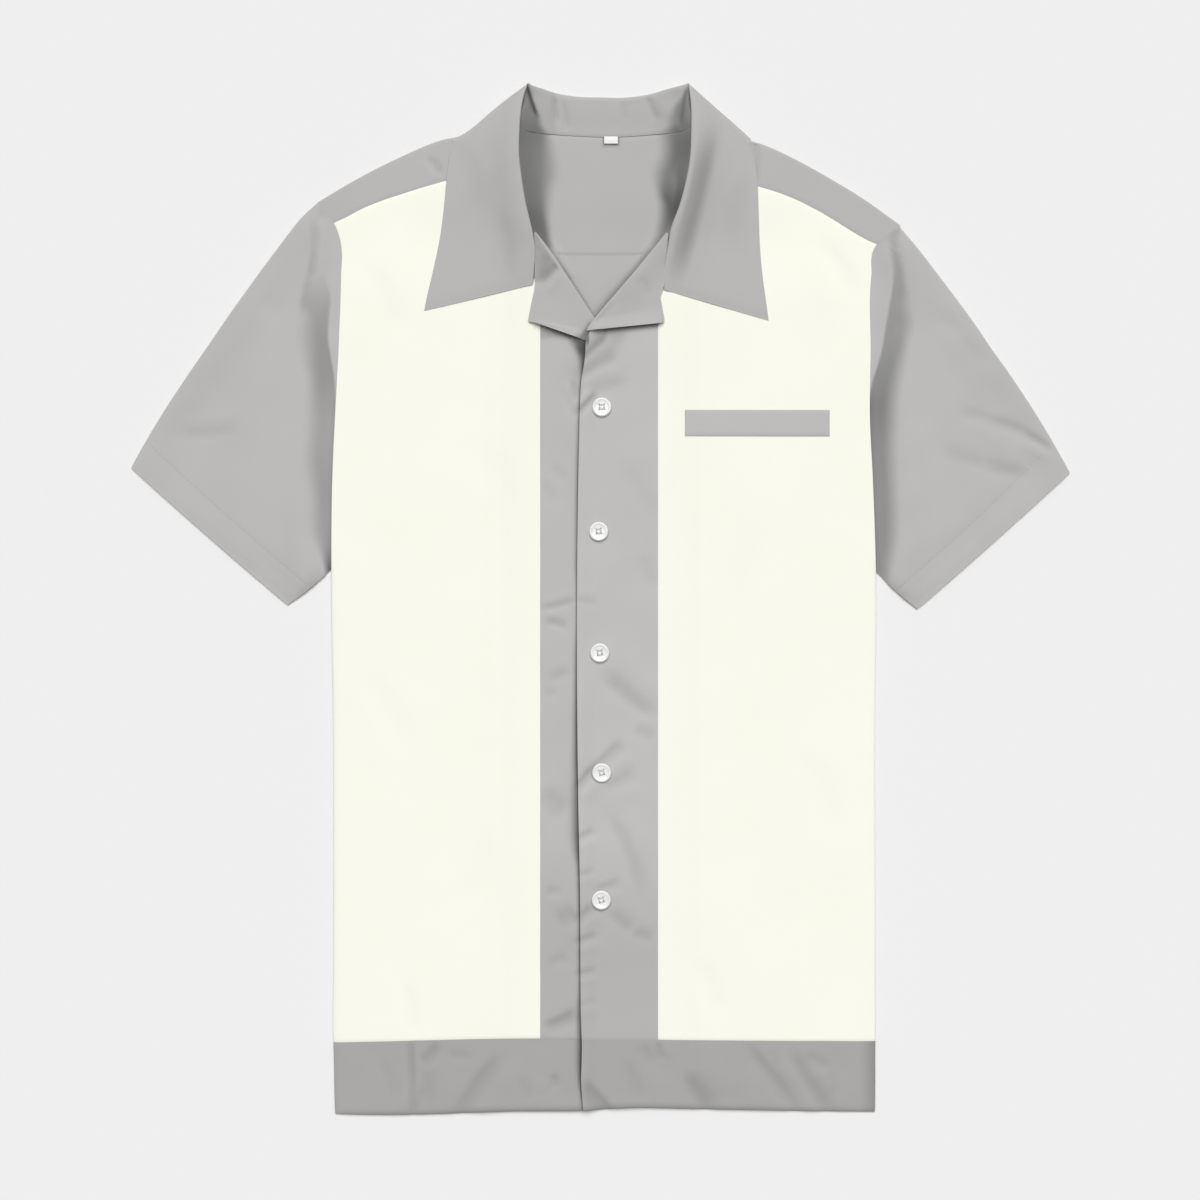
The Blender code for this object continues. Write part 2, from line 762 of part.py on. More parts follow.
def main():
    clear_scene()
    shirt = make_collection("camp_collar_shirt")
    cutters = make_collection("cutters")
    cutters.hide_render = True
    grey = make_material("grey_cloth", GREY, 0.85)
    ivory = make_material("ivory_cloth", IVORY, 0.85)
    button_white = make_material("button_white", BUTTON_WHITE, 0.35)
    label_white = make_material("label_white", LABEL_WHITE, 0.7)
    build_back(grey, shirt)
    build_yoke(grey, shirt)
    build_side_fronts(ivory, shirt)
    build_centre_fronts(grey, shirt)
    build_front_hem_bands(grey, shirt)
    build_sleeves(grey, shirt)
    build_collar(grey, shirt)
    build_lapels(grey, shirt)
    build_welt(grey, shirt)
    build_label(label_white, shirt)
    build_buttons(button_white, shirt, cutters)


main()
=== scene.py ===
import math
import bmesh
import bpy
import numpy as np
from mathutils import Matrix, Vector


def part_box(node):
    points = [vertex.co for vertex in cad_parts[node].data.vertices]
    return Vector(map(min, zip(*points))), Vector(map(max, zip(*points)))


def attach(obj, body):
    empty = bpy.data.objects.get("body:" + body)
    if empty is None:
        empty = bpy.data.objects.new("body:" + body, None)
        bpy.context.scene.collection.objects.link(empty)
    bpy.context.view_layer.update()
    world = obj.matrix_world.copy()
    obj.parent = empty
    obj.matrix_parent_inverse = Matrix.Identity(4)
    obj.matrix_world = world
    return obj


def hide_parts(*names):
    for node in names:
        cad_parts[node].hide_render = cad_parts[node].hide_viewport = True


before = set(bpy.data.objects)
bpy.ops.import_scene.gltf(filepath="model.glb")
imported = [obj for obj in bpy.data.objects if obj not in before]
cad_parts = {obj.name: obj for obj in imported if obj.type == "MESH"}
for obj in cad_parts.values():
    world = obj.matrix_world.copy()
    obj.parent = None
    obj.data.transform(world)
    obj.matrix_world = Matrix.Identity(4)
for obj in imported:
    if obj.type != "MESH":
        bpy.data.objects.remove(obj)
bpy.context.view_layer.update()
mm = 0.001

# The shirt lies on its back with its collar toward +Y and the wearer's left side at +X.
# Sizes here are in millimetres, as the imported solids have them.
garment = dict(
    wall=0.7,  # cloth
    layer=1.0,  # from one layer of cloth to the next
    lapelLayer=1.8,  # and where a lapel lies between
    # painted shade: share of their light that the centre fronts lose toward the hem, from where and over how
    # far
    fade=(0.09, -180, 90),
    underHemShade=1.2,  # how many times as much painted shade each of them takes
    lapHemShade=1.4,
    edgeRoll=5.5,  # how far in from a free edge the fronts take to rise
    seamGroove=0.45,
    seamWidth=0.9,
    bevel=0.22,
    slack=0.5,  # air between a turned piece and what it lies on
    pressed=0.8,  # how far the lap presses down what lies beneath it
    edgeTuck=0.5,  # how far a free edge turns under
    hemTuck=0.4,  # and a front at its hem seam
    backSeam=269.2,
    underlap=18.0,
    seamRight=-47.0,
    seamLeft=44.8,
    hemBand=55.0,  # width of the bands along the hem
    sideRight=[(-402, -206.9), (-385, -207.5), (-350, -208.1), (-343, -208.4), (-290, -208.3),
               (-200, -208.2), (-100, -208.4), (22, -210), (95, -209.2), (141, -207.2), (193, -204.6),
               (252, -202.7), (276, -202.8), (291, -207.2), (308, -219.2), (311, -221.6)],
    sideLeft=[(-402, 214.1), (-375, 214.3), (-350, 214.3), (-343, 214.4), (-290, 214.4), (-100, 214),
              (22, 214.8), (95, 212.4), (141, 210.2), (193, 210.9), (252, 211.7), (276, 215.7),
              (291, 232.8), (293, 234.8), (308, 250)],
    hemBottom=[(-209, -401.7), (-190, -402.4), (-160, -402.5), (-144, -402.3), (-113, -401.3),
               (-81, -400.1), (-47, -399.7), (-15, -399.3), (12, -397.5), (28, -396.8), (43, -397.2),
               (75, -398), (120, -398.8), (168, -399.6), (216, -400.1)],
    hemSeam=[(-209, -346), (-47, -342.5), (43, -343.6), (216, -345)],
    lapEdge=[(-402, -13.6), (-390, -14.2), (-376, -15.2), (-362, -14.8), (-345, -14.6), (-335, -15),
             (-322, -15.4), (-300, -15.6), (-228, -16), (-154, -17.4), (-1, -18.3), (77, -17.6),
             (120, -16.8), (154, -15.9), (170, -15), (186, -13.2), (209, -10.9)],
    # how far the free edge of the lap stands up from the front beneath it
    edgeLift=[(-402, 1.2), (-372, 3.6), (-346, 1.6), (-320, 2.8), (-290, 1.8), (-192, 3.4), (-160, 2),
              (-108, 3.4), (-60, 1.8), (10, 2.2), (80, 1.8), (140, 1.8), (168, 1.8), (186, 2.6), (209, 3.4)],
)


# Arithmetic on whole sheets of points

def smoothStep(share):
    share = np.clip(share, 0, 1)
    return share * share * (3 - 2 * share)


def roundUp(share):  # a quarter circle from 0 up to 1
    return np.sqrt(1 - (1 - np.clip(share, 0, 1)) ** 2)


def hump(away, width):  # 1 on a line, next to nothing at twice the width from it
    return np.exp(-((away / width) ** 2))


def stepsOf(points, axis=0):  # the distance from each point to the next
    return np.linalg.norm(np.diff(points, axis=axis), axis=-1)


def runOf(steps):  # how far along each point lies
    return np.concatenate([[0], np.cumsum(steps)])


# A smooth curve through values, numbers or whole rows of points. A calm one never overshoots them.
def through(keys, values, calm=False):
    keys, values = np.asarray(keys, float), np.asarray(values, float)
    wide = (-1,) + (1,) * (values.ndim - 1)
    steps = np.diff(keys)
    slopes = np.diff(values, axis=0) / steps.reshape(wide)
    before, after = steps[:-1].reshape(wide), steps[1:].reshape(wide)
    inner = (slopes[:-1] * after + slopes[1:] * before) / (before + after)
    if calm:
        most = 2 * np.minimum(np.abs(slopes[:-1]), np.abs(slopes[1:])) * (slopes[:-1] * slopes[1:] > 0)
        inner = np.clip(inner, -most, most)
    tangents = np.concatenate([slopes[:1], inner, slopes[-1:]])

    def at(where):
        where = np.clip(np.asarray(where, float), keys[0], keys[-1])
        i = np.clip(np.searchsorted(keys, where, side="right") - 1, 0, len(steps) - 1)
        spread = where.shape + (1,) * (values.ndim - 1)
        step = steps[i].reshape(spread)
        t = ((where - keys[i]) / steps[i]).reshape(spread)
        start = (2 * t**3 - 3 * t**2 + 1) * values[i] + (t**3 - 2 * t**2 + t) * step * tangents[i]
        return start + (3 * t**2 - 2 * t**3) * values[i + 1] + (t**3 - t**2) * step * tangents[i + 1]

    return at


def curveOf(rows):  # one value for each key
    rows = sorted(rows)
    return through([row[0] for row in rows], [row[1] for row in rows])


def tableOf(rows, calm=False):  # several values for each key, read into as many arrays
    read = through([row[0] for row in rows], [row[1:] for row in rows], calm)
    return lambda where: np.moveaxis(read(where), -1, 0)


sideRight, sideLeft, hemBottom = [curveOf(garment[name]) for name in ("sideRight", "sideLeft", "hemBottom")]
hemSeam, lapEdge, edgeLift = [curveOf(garment[name]) for name in ("hemSeam", "lapEdge", "edgeLift")]


def shares(count, length, lips=(0.5, 1.2, 2.2)):  # shares of a length, closer together at both ends
    ends = np.array((0,) + lips) / length
    return np.concatenate([ends, np.linspace(3.6 / length, 1 - 3.6 / length, count), 1 - ends[::-1]])


crease = dict(
    depth=1.6,  # millimetres for a depth of 1 in the tables of creases
    tone=0.075,  # painted shade: share of its lightness that cloth loses for each millimetre it dips
    darkest=0.3,
    ridge=0.35,  # height of the ridge as a share of the trough's depth
    ridgeAway=1.9,  # how many widths from the trough it lies
    ridgeWidth=1.2,
)


# Soft folds, each along a bowed line: a trough with a lower ridge beyond its softer side
def relief(x, y, creases):
    lift = np.zeros_like(x)
    for x1, y1, x2, y2, bow, depth, left, right, spread in creases:
        along = Vector((x2 - x1, y2 - y1))
        length = along.length
        along /= length
        t = ((x - x1) * along.x + (y - y1) * along.y) / length
        off = (y - y1) * along.x - (x - x1) * along.y - bow * 4 * t * (1 - t)
        grow = 1 + (spread - 1) * np.clip(t, 0, 1)
        soft = (left if left > right else -right) * grow
        trough = hump(off, np.where(off > 0, left, right) * grow)
        ridge = hump(off - crease["ridgeAway"] * soft, crease["ridgeWidth"] * soft)
        fade = smoothStep((t + 0.1) / 0.4) * smoothStep((1.1 - t) / 0.4)  # both ends die out
        lift += depth * (trough - crease["ridge"] * ridge) * fade
    return lift * crease["depth"]


# Painted shade in the troughs of creases, deeper troughs darker
def creaseShade(lift):
    return np.clip(-lift * crease["tone"], 0, crease["darkest"])


# Long, shallow unevenness of cloth that has been handled: how high and how long the waves are
ripples = dict(sideFront=(0.10, 70), centreFront=(0.3, 45), hemBand=(0.3, 34), sleeve=(0.3, 50),
               collar=(0.2, 55), lapel=(0.14, 40), welt=(0.08, 40))


def ripple(x, y, kind, seed):
    amount, size = ripples[kind]
    turn = np.random.default_rng(seed)
    lift = np.zeros_like(x)
    for _ in range(7):
        angle, phase = turn.uniform(0, math.tau, 2)
        wave = size * turn.uniform(0.6, 1.7)
        lift += np.sin((x * math.cos(angle) + y * math.sin(angle)) * math.tau / wave + phase)
    return lift * amount / 3.5


# Turned edge of the collar and the lapels up to the back of the neck, and how high it stands
roll = dict(
    right=[(196, 4), (207, 3), (218, -4.3), (267, -36.4), (287, -53.4), (308, -58.4), (328, -61.6),
           (345, -63.4), (372, -62.7), (400, -56.9)],
    left=[(196, -12), (207, -11.5), (218, -4.3), (267, 37), (287, 54.6), (308, 62.2), (328, 67.3),
          (345, 69.8), (372, 70.6), (400, 68)],
    rise=dict(
        right=[(196, 0.4), (207, 0.6), (218, 1.2), (245, 2.4), (267, 4.4), (287, 8.5), (308, 11),
               (328, 12.5), (345, 13), (372, 11), (400, 6)],
        left=[(196, 0.5), (207, 1.2), (218, 2.6), (245, 4.6), (267, 6.4), (287, 9), (308, 11), (328, 12.5),
              (345, 13), (372, 11), (400, 6)],
    ),
    reach=23.0,
    turn=1.1,  # half the height of the turn itself
)
rollLine = {side: curveOf(roll[side]) for side in ("right", "left")}
rollRise = {side: curveOf(roll["rise"][side]) for side in ("right", "left")}


# Inside the neck the back climbs to the collar on either side
neckClimb = dict(
    rise=[(250, 0), (262, 5), (275, 9), (292, 12.5), (320, 14.5), (355, 14.5), (372, 12), (392, 8),
          (402, 5)],
    foot=[(250, 8), (262, 10), (275, 13), (292, 16), (320, 20), (355, 23), (372, 24), (402, 14)],
    steep=2.1,  # the power the climb follows
    beyond=9.0,  # how far under the collar it comes down again
)
climbRise, climbFoot = curveOf(neckClimb["rise"]), curveOf(neckClimb["foot"])


def climbHeight(x, y):
    past = np.abs(x) - np.where(x < 0, -rollLine["right"](y), rollLine["left"](y))
    foot = climbFoot(y)
    share = np.clip((past + foot) / foot, 0, 1)
    down = 1 - smoothStep((past - 2) / neckClimb["beyond"])
    return climbRise(y) * share ** neckClimb["steep"] * down


# Painted shade on the cloth inside the neck, where the collar shelters it: y, the line up to which it is
# darkest, the line where that ends, and how dark it is
neckShadeRows = dict(
    right=[(262, -40, -33.5, 0.10), (271, -41, -34.5, 0.52), (277, -43, -35, 0.62), (283, -44, -36, 0.65),
           (289, -45, -36.5, 0.66), (296, -46.5, -37, 0.64), (308, -48.5, -35.5, 0.58),
           (321, -49.5, -32.5, 0.56), (333, -49.5, -28, 0.54), (345, -49, -30, 0.54), (358, -48, -34, 0.56),
           (364, -47.5, -36.5, 0.58), (370, -51, -41.5, 0.56), (377, -50.5, -44.5, 0.53),
           (383, -51.8, -48.8, 0.53), (389, -54.2, -51.4, 0.53), (395, -55.8, -53.6, 0.53),
           (402, -58.5, -56.5, 0.50)],
    left=[(262, 40, 33, 0.10), (271, 42, 35, 0.25), (277, 45, 37, 0.38), (283, 50, 39, 0.46),
          (289, 53, 39.4, 0.56), (296, 55.5, 41, 0.70), (302, 56, 42, 0.76), (308, 54.5, 42.3, 0.74),
          (314, 52, 41, 0.69), (321, 51, 39.5, 0.60), (327, 52, 37.6, 0.54), (333, 54, 36.5, 0.54),
          (339, 58, 38, 0.57), (346, 60.2, 41, 0.61), (358, 60.5, 41.5, 0.61), (364, 59.5, 40, 0.57),
          (370, 62.8, 47.5, 0.53), (377, 62, 49.5, 0.53), (383, 62.8, 53, 0.53), (389, 65.5, 57.8, 0.52),
          (395, 67, 63.6, 0.48), (402, 70.5, 67.5, 0.35)],
    beside=(1.9, 4.6),  # how far a thinner painted shade reaches from the turned edge of each lapel
    besideShade=0.42,
)


# Painted shade inside the neck, and a thinner one beside the turned edges of the lapels
def neckShade(x, y):
    shade = np.zeros_like(x)
    for side, sign in (("right", -1), ("left", 1)):
        deep, end, amount = tableOf(neckShadeRows[side])(y)
        shade += np.where(x * sign > 0, amount * smoothStep((x - end) / (deep - end)), 0)
    shade = shade * smoothStep((y - 258) / 12)
    fromRight, fromLeft = np.maximum(x - rollLine["right"](y), 0), np.maximum(rollLine["left"](y) - x, 0)
    right, left = neckShadeRows["beside"]
    beside = neckShadeRows["besideShade"] * np.maximum(hump(fromRight, right), hump(fromLeft, left))
    return np.maximum(shade, beside * smoothStep((290 - y) / 20))


# Heights of the layers, at the middle of the cloth

# The back rises over the collar's leaf
overCollar = dict(height=1.3, above=272, within=165, rampY=44, rampX=42)


def backHeight(x, y):
    inY = smoothStep((y - overCollar["above"]) / overCollar["rampY"])
    inX = smoothStep((overCollar["within"] - np.abs(x)) / overCollar["rampX"])
    return garment["wall"] / 2 + overCollar["height"] * (inY * inX)


fullness = dict(
    loft=3.8,  # how far the fronts stand off the back
    besideSleeve=3.0,  # how much nearer their sides it begins beside the sleeves
    even=0.45,  # share of the loft that is the same all over
    crown=0.55,  # share that falls off toward the sides
    shoulder=0.55,  # share that is gone at the shoulders
)


def frontHeight(x, y):
    side = np.where(x < 0, sideRight(y), sideLeft(y))
    inward = np.abs(side) - np.abs(x) + fullness["besideSleeve"] * smoothStep((y - 20) / 25)
    edge = roundUp(inward / garment["edgeRoll"]) * roundUp((y - hemBottom(x)) / garment["edgeRoll"])
    crown = 1 - np.clip(np.abs(x / side), 0, 1) ** 4
    toShoulder = 1 - fullness["shoulder"] * smoothStep((y - 230) / 70)
    lift = fullness["loft"] * (fullness["even"] * edge + fullness["crown"] * crown * edge) * toShoulder
    return backHeight(x, y) + garment["layer"] + lift


def lapHeight(x, y):
    overUnderlap = smoothStep((42 - x) / 18)
    overLapel = smoothStep((y - 160) / 26) * smoothStep((28 - x) / 18)
    atEdge = smoothStep((lapEdge(y) + 15 - x) / 15)
    lift = garment["layer"] * overUnderlap + garment["lapelLayer"] * overLapel + edgeLift(y) * atEdge
    return frontHeight(x, y) + lift


panelHeight = dict(right=frontHeight, left=lapHeight)  # what the collar and the lapels lie on


def turnedHeight(x, y, side):
    rise = rollRise[side](y) * hump(np.abs(x - rollLine[side](y)), roll["reach"])
    return panelHeight[side](x, y) + garment["layer"] + garment["slack"] + rise


# Materials: the effects that several finishes share are node groups, on the cloth's own UV in metres

def newGroup(name, inputs, outputs):
    group = bpy.data.node_groups.new(name, "ShaderNodeTree")
    for label, kind, value in inputs:
        socket = group.interface.new_socket(name=label, in_out="INPUT", socket_type=kind)
        socket.default_value = value
    for label, kind in outputs:
        group.interface.new_socket(name=label, in_out="OUTPUT", socket_type=kind)
    return group, group.nodes.new("NodeGroupInput"), group.nodes.new("NodeGroupOutput")


def feed(tree, *pairs):  # each socket takes a number, a colour or a link
    for value, socket in pairs:
        if isinstance(value, (int, float, tuple)):
            socket.default_value = value
        else:
            tree.links.new(value, socket)


def mathNode(tree, operation, *values):
    node = tree.nodes.new("ShaderNodeMath")
    node.operation = operation
    feed(tree, *zip(values, node.inputs))
    return node.outputs[0]


def mixNode(tree, share, first, second):
    node = tree.nodes.new("ShaderNodeMix")
    node.data_type = "RGBA"
    feed(tree, (share, node.inputs[0]), (first, node.inputs[6]), (second, node.inputs[7]))
    return node.outputs[2]


cloth = dict(
    looks={"Roughness": 0.88, "Specular IOR Level": 0.18, "Sheen Weight": 0.12, "Sheen Roughness": 0.45},
    threads=2.2,  # to a millimetre
    bump=0.00012,
    bumpStrength=0.35,
    broad=(14.0, 3.0),  # scale and detail of the unevenness over a hand's width
    fine=(900.0, 2.0),  # and of that from thread to thread
    broadShare=0.9,
    evenShare=0.25,
    fineShare=0.5,
    gapShare=0.35,
    paintedShading=(0.004, 0.004, 0.004, 1),  # what a painted shade of 1 turns it to
)


# Plain weave: warp and weft threads that pass over each other by turns
def buildWeaveGroup():
    group, given, made = newGroup(
        "plainWeave",
        [("Vector", "NodeSocketVector", (0, 0, 0)), ("Threads", "NodeSocketFloat", cloth["threads"])],
        [("Height", "NodeSocketFloat"), ("Gap", "NodeSocketFloat")],
    )
    scaled, split = group.nodes.new("ShaderNodeVectorMath"), group.nodes.new("ShaderNodeSeparateXYZ")
    scaled.operation = "SCALE"
    perMetre = mathNode(group, "MULTIPLY", given.outputs["Threads"], 1000.0)
    feed(group, (given.outputs["Vector"], scaled.inputs[0]), (perMetre, scaled.inputs["Scale"]),
         (scaled.outputs[0], split.inputs[0]))
    turns = [mathNode(group, "MULTIPLY", split.outputs[axis], math.pi) for axis in (0, 1)]
    waves = [mathNode(group, "SINE", turn) for turn in turns]
    warp, weft = [mathNode(group, "ABSOLUTE", wave) for wave in waves]
    over = mathNode(group, "MULTIPLY_ADD", mathNode(group, "MULTIPLY", *waves), 0.5, 0.5)
    warpPart = mathNode(group, "MULTIPLY", warp, over)
    weftPart = mathNode(group, "MULTIPLY", weft, mathNode(group, "SUBTRACT", 1.0, over))
    height = mathNode(group, "ADD", warpPart, weftPart)
    gap = mathNode(group, "SUBTRACT", 1.0, height)
    feed(group, (height, made.inputs["Height"]), (gap, made.inputs["Gap"]))
    return group


# Colour that is a little uneven over a hand's width and from thread to thread, and darkened by painted shade
def buildToneShadeGroup():
    group, given, made = newGroup(
        "clothToneAndShade",
        [("Vector", "NodeSocketVector", (0, 0, 0)), ("Color", "NodeSocketColor", (1, 1, 1, 1)),
         ("Dark", "NodeSocketColor", (0, 0, 0, 1)), ("Gap", "NodeSocketFloat", 0.0),
         ("Shade", "NodeSocketFloat", 0.0)],
        [("Color", "NodeSocketColor"), ("Height", "NodeSocketFloat")],
    )
    broad, fine = group.nodes.new("ShaderNodeTexNoise"), group.nodes.new("ShaderNodeTexNoise")
    for noise, (scale, detail) in ((broad, cloth["broad"]), (fine, cloth["fine"])):
        feed(group, (scale, noise.inputs["Scale"]), (detail, noise.inputs["Detail"]),
             (given.outputs["Vector"], noise.inputs["Vector"]))
    broadly, finely = [mathNode(group, "SUBTRACT", noise.outputs["Fac"], 0.5) for noise in (broad, fine)]
    uneven = mathNode(group, "MULTIPLY_ADD", broadly, cloth["broadShare"], cloth["evenShare"])
    thread = mathNode(group, "MULTIPLY", finely, cloth["fineShare"])
    gap = mathNode(group, "MULTIPLY", given.outputs["Gap"], cloth["gapShare"])
    share = mathNode(group, "ADD", mathNode(group, "ADD", uneven, thread), gap)
    clamped = mathNode(group, "MINIMUM", mathNode(group, "MAXIMUM", share, 0.0), 1.0)
    colour = mixNode(group, clamped, given.outputs["Color"], given.outputs["Dark"])
    paintedShading = mixNode(group, given.outputs["Shade"], colour, cloth["paintedShading"])
    feed(group, (paintedShading, made.inputs["Color"]), (fine.outputs["Fac"], made.inputs["Height"]))
    return group


def newMaterial(name, looks):
    material = bpy.data.materials.new(name)
    material.use_nodes = True
    shader = material.node_tree.nodes["Principled BSDF"]
    for label, value in looks.items():
        shader.inputs[label].default_value = value
    return material, material.node_tree, shader


weaveGroup, toneShadeGroup = buildWeaveGroup(), buildToneShadeGroup()


def clothMaterial(name, colour, dark):
    material, tree, shader = newMaterial(name, cloth["looks"])
    # the shade attribute is painted shade, carried by each sheet of cloth
    uv, shade = tree.nodes.new("ShaderNodeUVMap"), tree.nodes.new("ShaderNodeAttribute")
    uv.uv_map, shade.attribute_name = "cut", "shade"
    weave, tone = tree.nodes.new("ShaderNodeGroup"), tree.nodes.new("ShaderNodeGroup")
    weave.node_tree, tone.node_tree = weaveGroup, toneShadeGroup
    bump = tree.nodes.new("ShaderNodeBump")
    feed(
        tree,
        (cloth["threads"], weave.inputs["Threads"]),
        ((*colour, 1), tone.inputs["Color"]),
        ((*dark, 1), tone.inputs["Dark"]),
        (cloth["bumpStrength"], bump.inputs["Strength"]),
        (cloth["bump"], bump.inputs["Distance"]),
        (uv.outputs["UV"], weave.inputs["Vector"]),
        (uv.outputs["UV"], tone.inputs["Vector"]),
        (weave.outputs["Gap"], tone.inputs["Gap"]),
        (shade.outputs["Fac"], tone.inputs["Shade"]),
        (weave.outputs["Height"], bump.inputs["Height"]),
        (tone.outputs["Color"], shader.inputs["Base Color"]),
        (bump.outputs["Normal"], shader.inputs["Normal"]),
    )
    material.diffuse_color = (*colour, 1)
    return material


# Each finish has its colour, and the one that it turns to where the cloth is uneven. The greys are all one
# cloth:
# the lap's and the welt's are lighter copies of it, painted light, and the one of the back, yoke, collar and
# lapels and that of the hem bands are darker copies, painted shade.
finishes = dict(
    grey=((0.504, 0.499, 0.494), (0.455, 0.450, 0.445)),
    lapGreyLit=((0.526, 0.521, 0.516), (0.476, 0.471, 0.466)),
    collarGreyShaded=((0.482, 0.477, 0.472), (0.434, 0.430, 0.426)),
    bandGreyShaded=((0.402, 0.397, 0.392), (0.355, 0.350, 0.346)),
    weltGreyLit=((0.512, 0.506, 0.500), (0.466, 0.461, 0.457)),
    ivory=((0.936, 0.935, 0.838), (0.912, 0.909, 0.803)),
    label=((0.900, 0.900, 0.900), (0.850, 0.850, 0.850)),
    thread=((0.600, 0.597, 0.590), (0.540, 0.537, 0.531)),
    seamThread=((0.478, 0.474, 0.468), (0.438, 0.434, 0.428)),
)
cloths = {name: clothMaterial(name + "Cloth", *pair) for name, pair in finishes.items()}
print("materials made")


# Sheets of cloth

# A grid laid over the points, rows by columns, in millimetres, with the cloth's own lengths as its UV.
# Rows and columns of points that hold no number are left out.
def layGrid(points):
    sheet = bmesh.new()
    rows, columns = points.shape[:2]
    cut, shade = sheet.loops.layers.uv.new("cut"), sheet.verts.layers.float.new("shade")
    made = bmesh.ops.create_grid(sheet, x_segments=columns - 1, y_segments=rows - 1, size=1)["verts"]
    filled = np.nan_to_num(points[..., :3])
    across = runOf(np.median(stepsOf(filled, 1), axis=0)) * mm
    up = runOf(np.median(stepsOf(filled), axis=1)) * mm
    bare = []
    for vertex in made:
        column = round((vertex.co.x + 1) / 2 * (columns - 1))
        row = round((vertex.co.y + 1) / 2 * (rows - 1))
        for loop in vertex.link_loops:
            loop[cut].uv = (across[column], up[row])
        if np.isnan(points[row, column, 2]):
            bare.append(vertex)
        else:
            vertex.co = Vector(points[row, column, :3]) * mm
            vertex[shade] = points[row, column, 3]
    bmesh.ops.delete(sheet, geom=bare, context="VERTS")
    return sheet


def addObject(name, data):
    thing = bpy.data.objects.new(name, data)
    bpy.context.scene.collection.objects.link(thing)
    return thing


def meshObject(name, sheet, material=None, smooth=False):
    for face in sheet.faces:
        face.smooth = smooth
    mesh = bpy.data.meshes.new(name)
    sheet.to_mesh(mesh)
    sheet.free()
    if material:
        mesh.materials.append(material)
    return addObject(name, mesh)


def enlist(piece, node=None):
    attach(piece, "root")
    if node:
        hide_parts(node)
    return piece


def makeCloth(name, node, points, finish, wall=garment["wall"]):
    points[..., 2] = np.maximum(points[..., 2], wall / 2)  # nothing reaches below the floor
    sheet = layGrid(points)
    bmesh.ops.remove_doubles(sheet, verts=sheet.verts, dist=0.02 * mm)
    piece = meshObject(name, sheet, cloths[finish], smooth=True)
    thick = piece.modifiers.new("wall", "SOLIDIFY")
    thick.thickness, thick.offset, thick.use_quality_normals = wall * mm, 0, True
    soft = piece.modifiers.new("softEdge", "BEVEL")
    soft.width, soft.segments, soft.harden_normals = garment["bevel"] * mm, 2, True
    soft.limit_method, soft.angle_limit = "ANGLE", math.radians(62)
    return enlist(piece, node)


# x and y of a grid between two sides and two ends, each a curve
def strip(left, right, bottom, top, acrossShares, upShares):
    across, up = np.meshgrid(acrossShares, upShares)
    low = high = np.zeros_like(across)
    for _ in range(24):  # the ends depend on x and the sides on y, so they are found by turns
        low = bottom(left(low) + (right(low) - left(low)) * across)
        high = top(left(high) + (right(high) - left(high)) * across)
    y = low + (high - low) * up
    return left(y) + (right(y) - left(y)) * across, y


def groove(z, acrossShares, upShares, width, length, seams):  # cloth dips where it is sewn
    across, up = np.meshgrid(acrossShares * width, upShares * length)
    away = dict(left=across, right=width - across, bottom=up, top=length - up)
    for seam in seams:
        z = z - garment["seamGroove"] * hump(away[seam], garment["seamWidth"])
    return z


def fixed(value):
    return lambda where: np.full_like(np.asarray(where, float), value)


def stack(x, y, z, shade=0.0):  # shade: painted shade, darker cloth for lying in a fold or under an edge
    return np.stack([x, y, z, np.broadcast_to(shade, np.shape(x))], axis=-1)


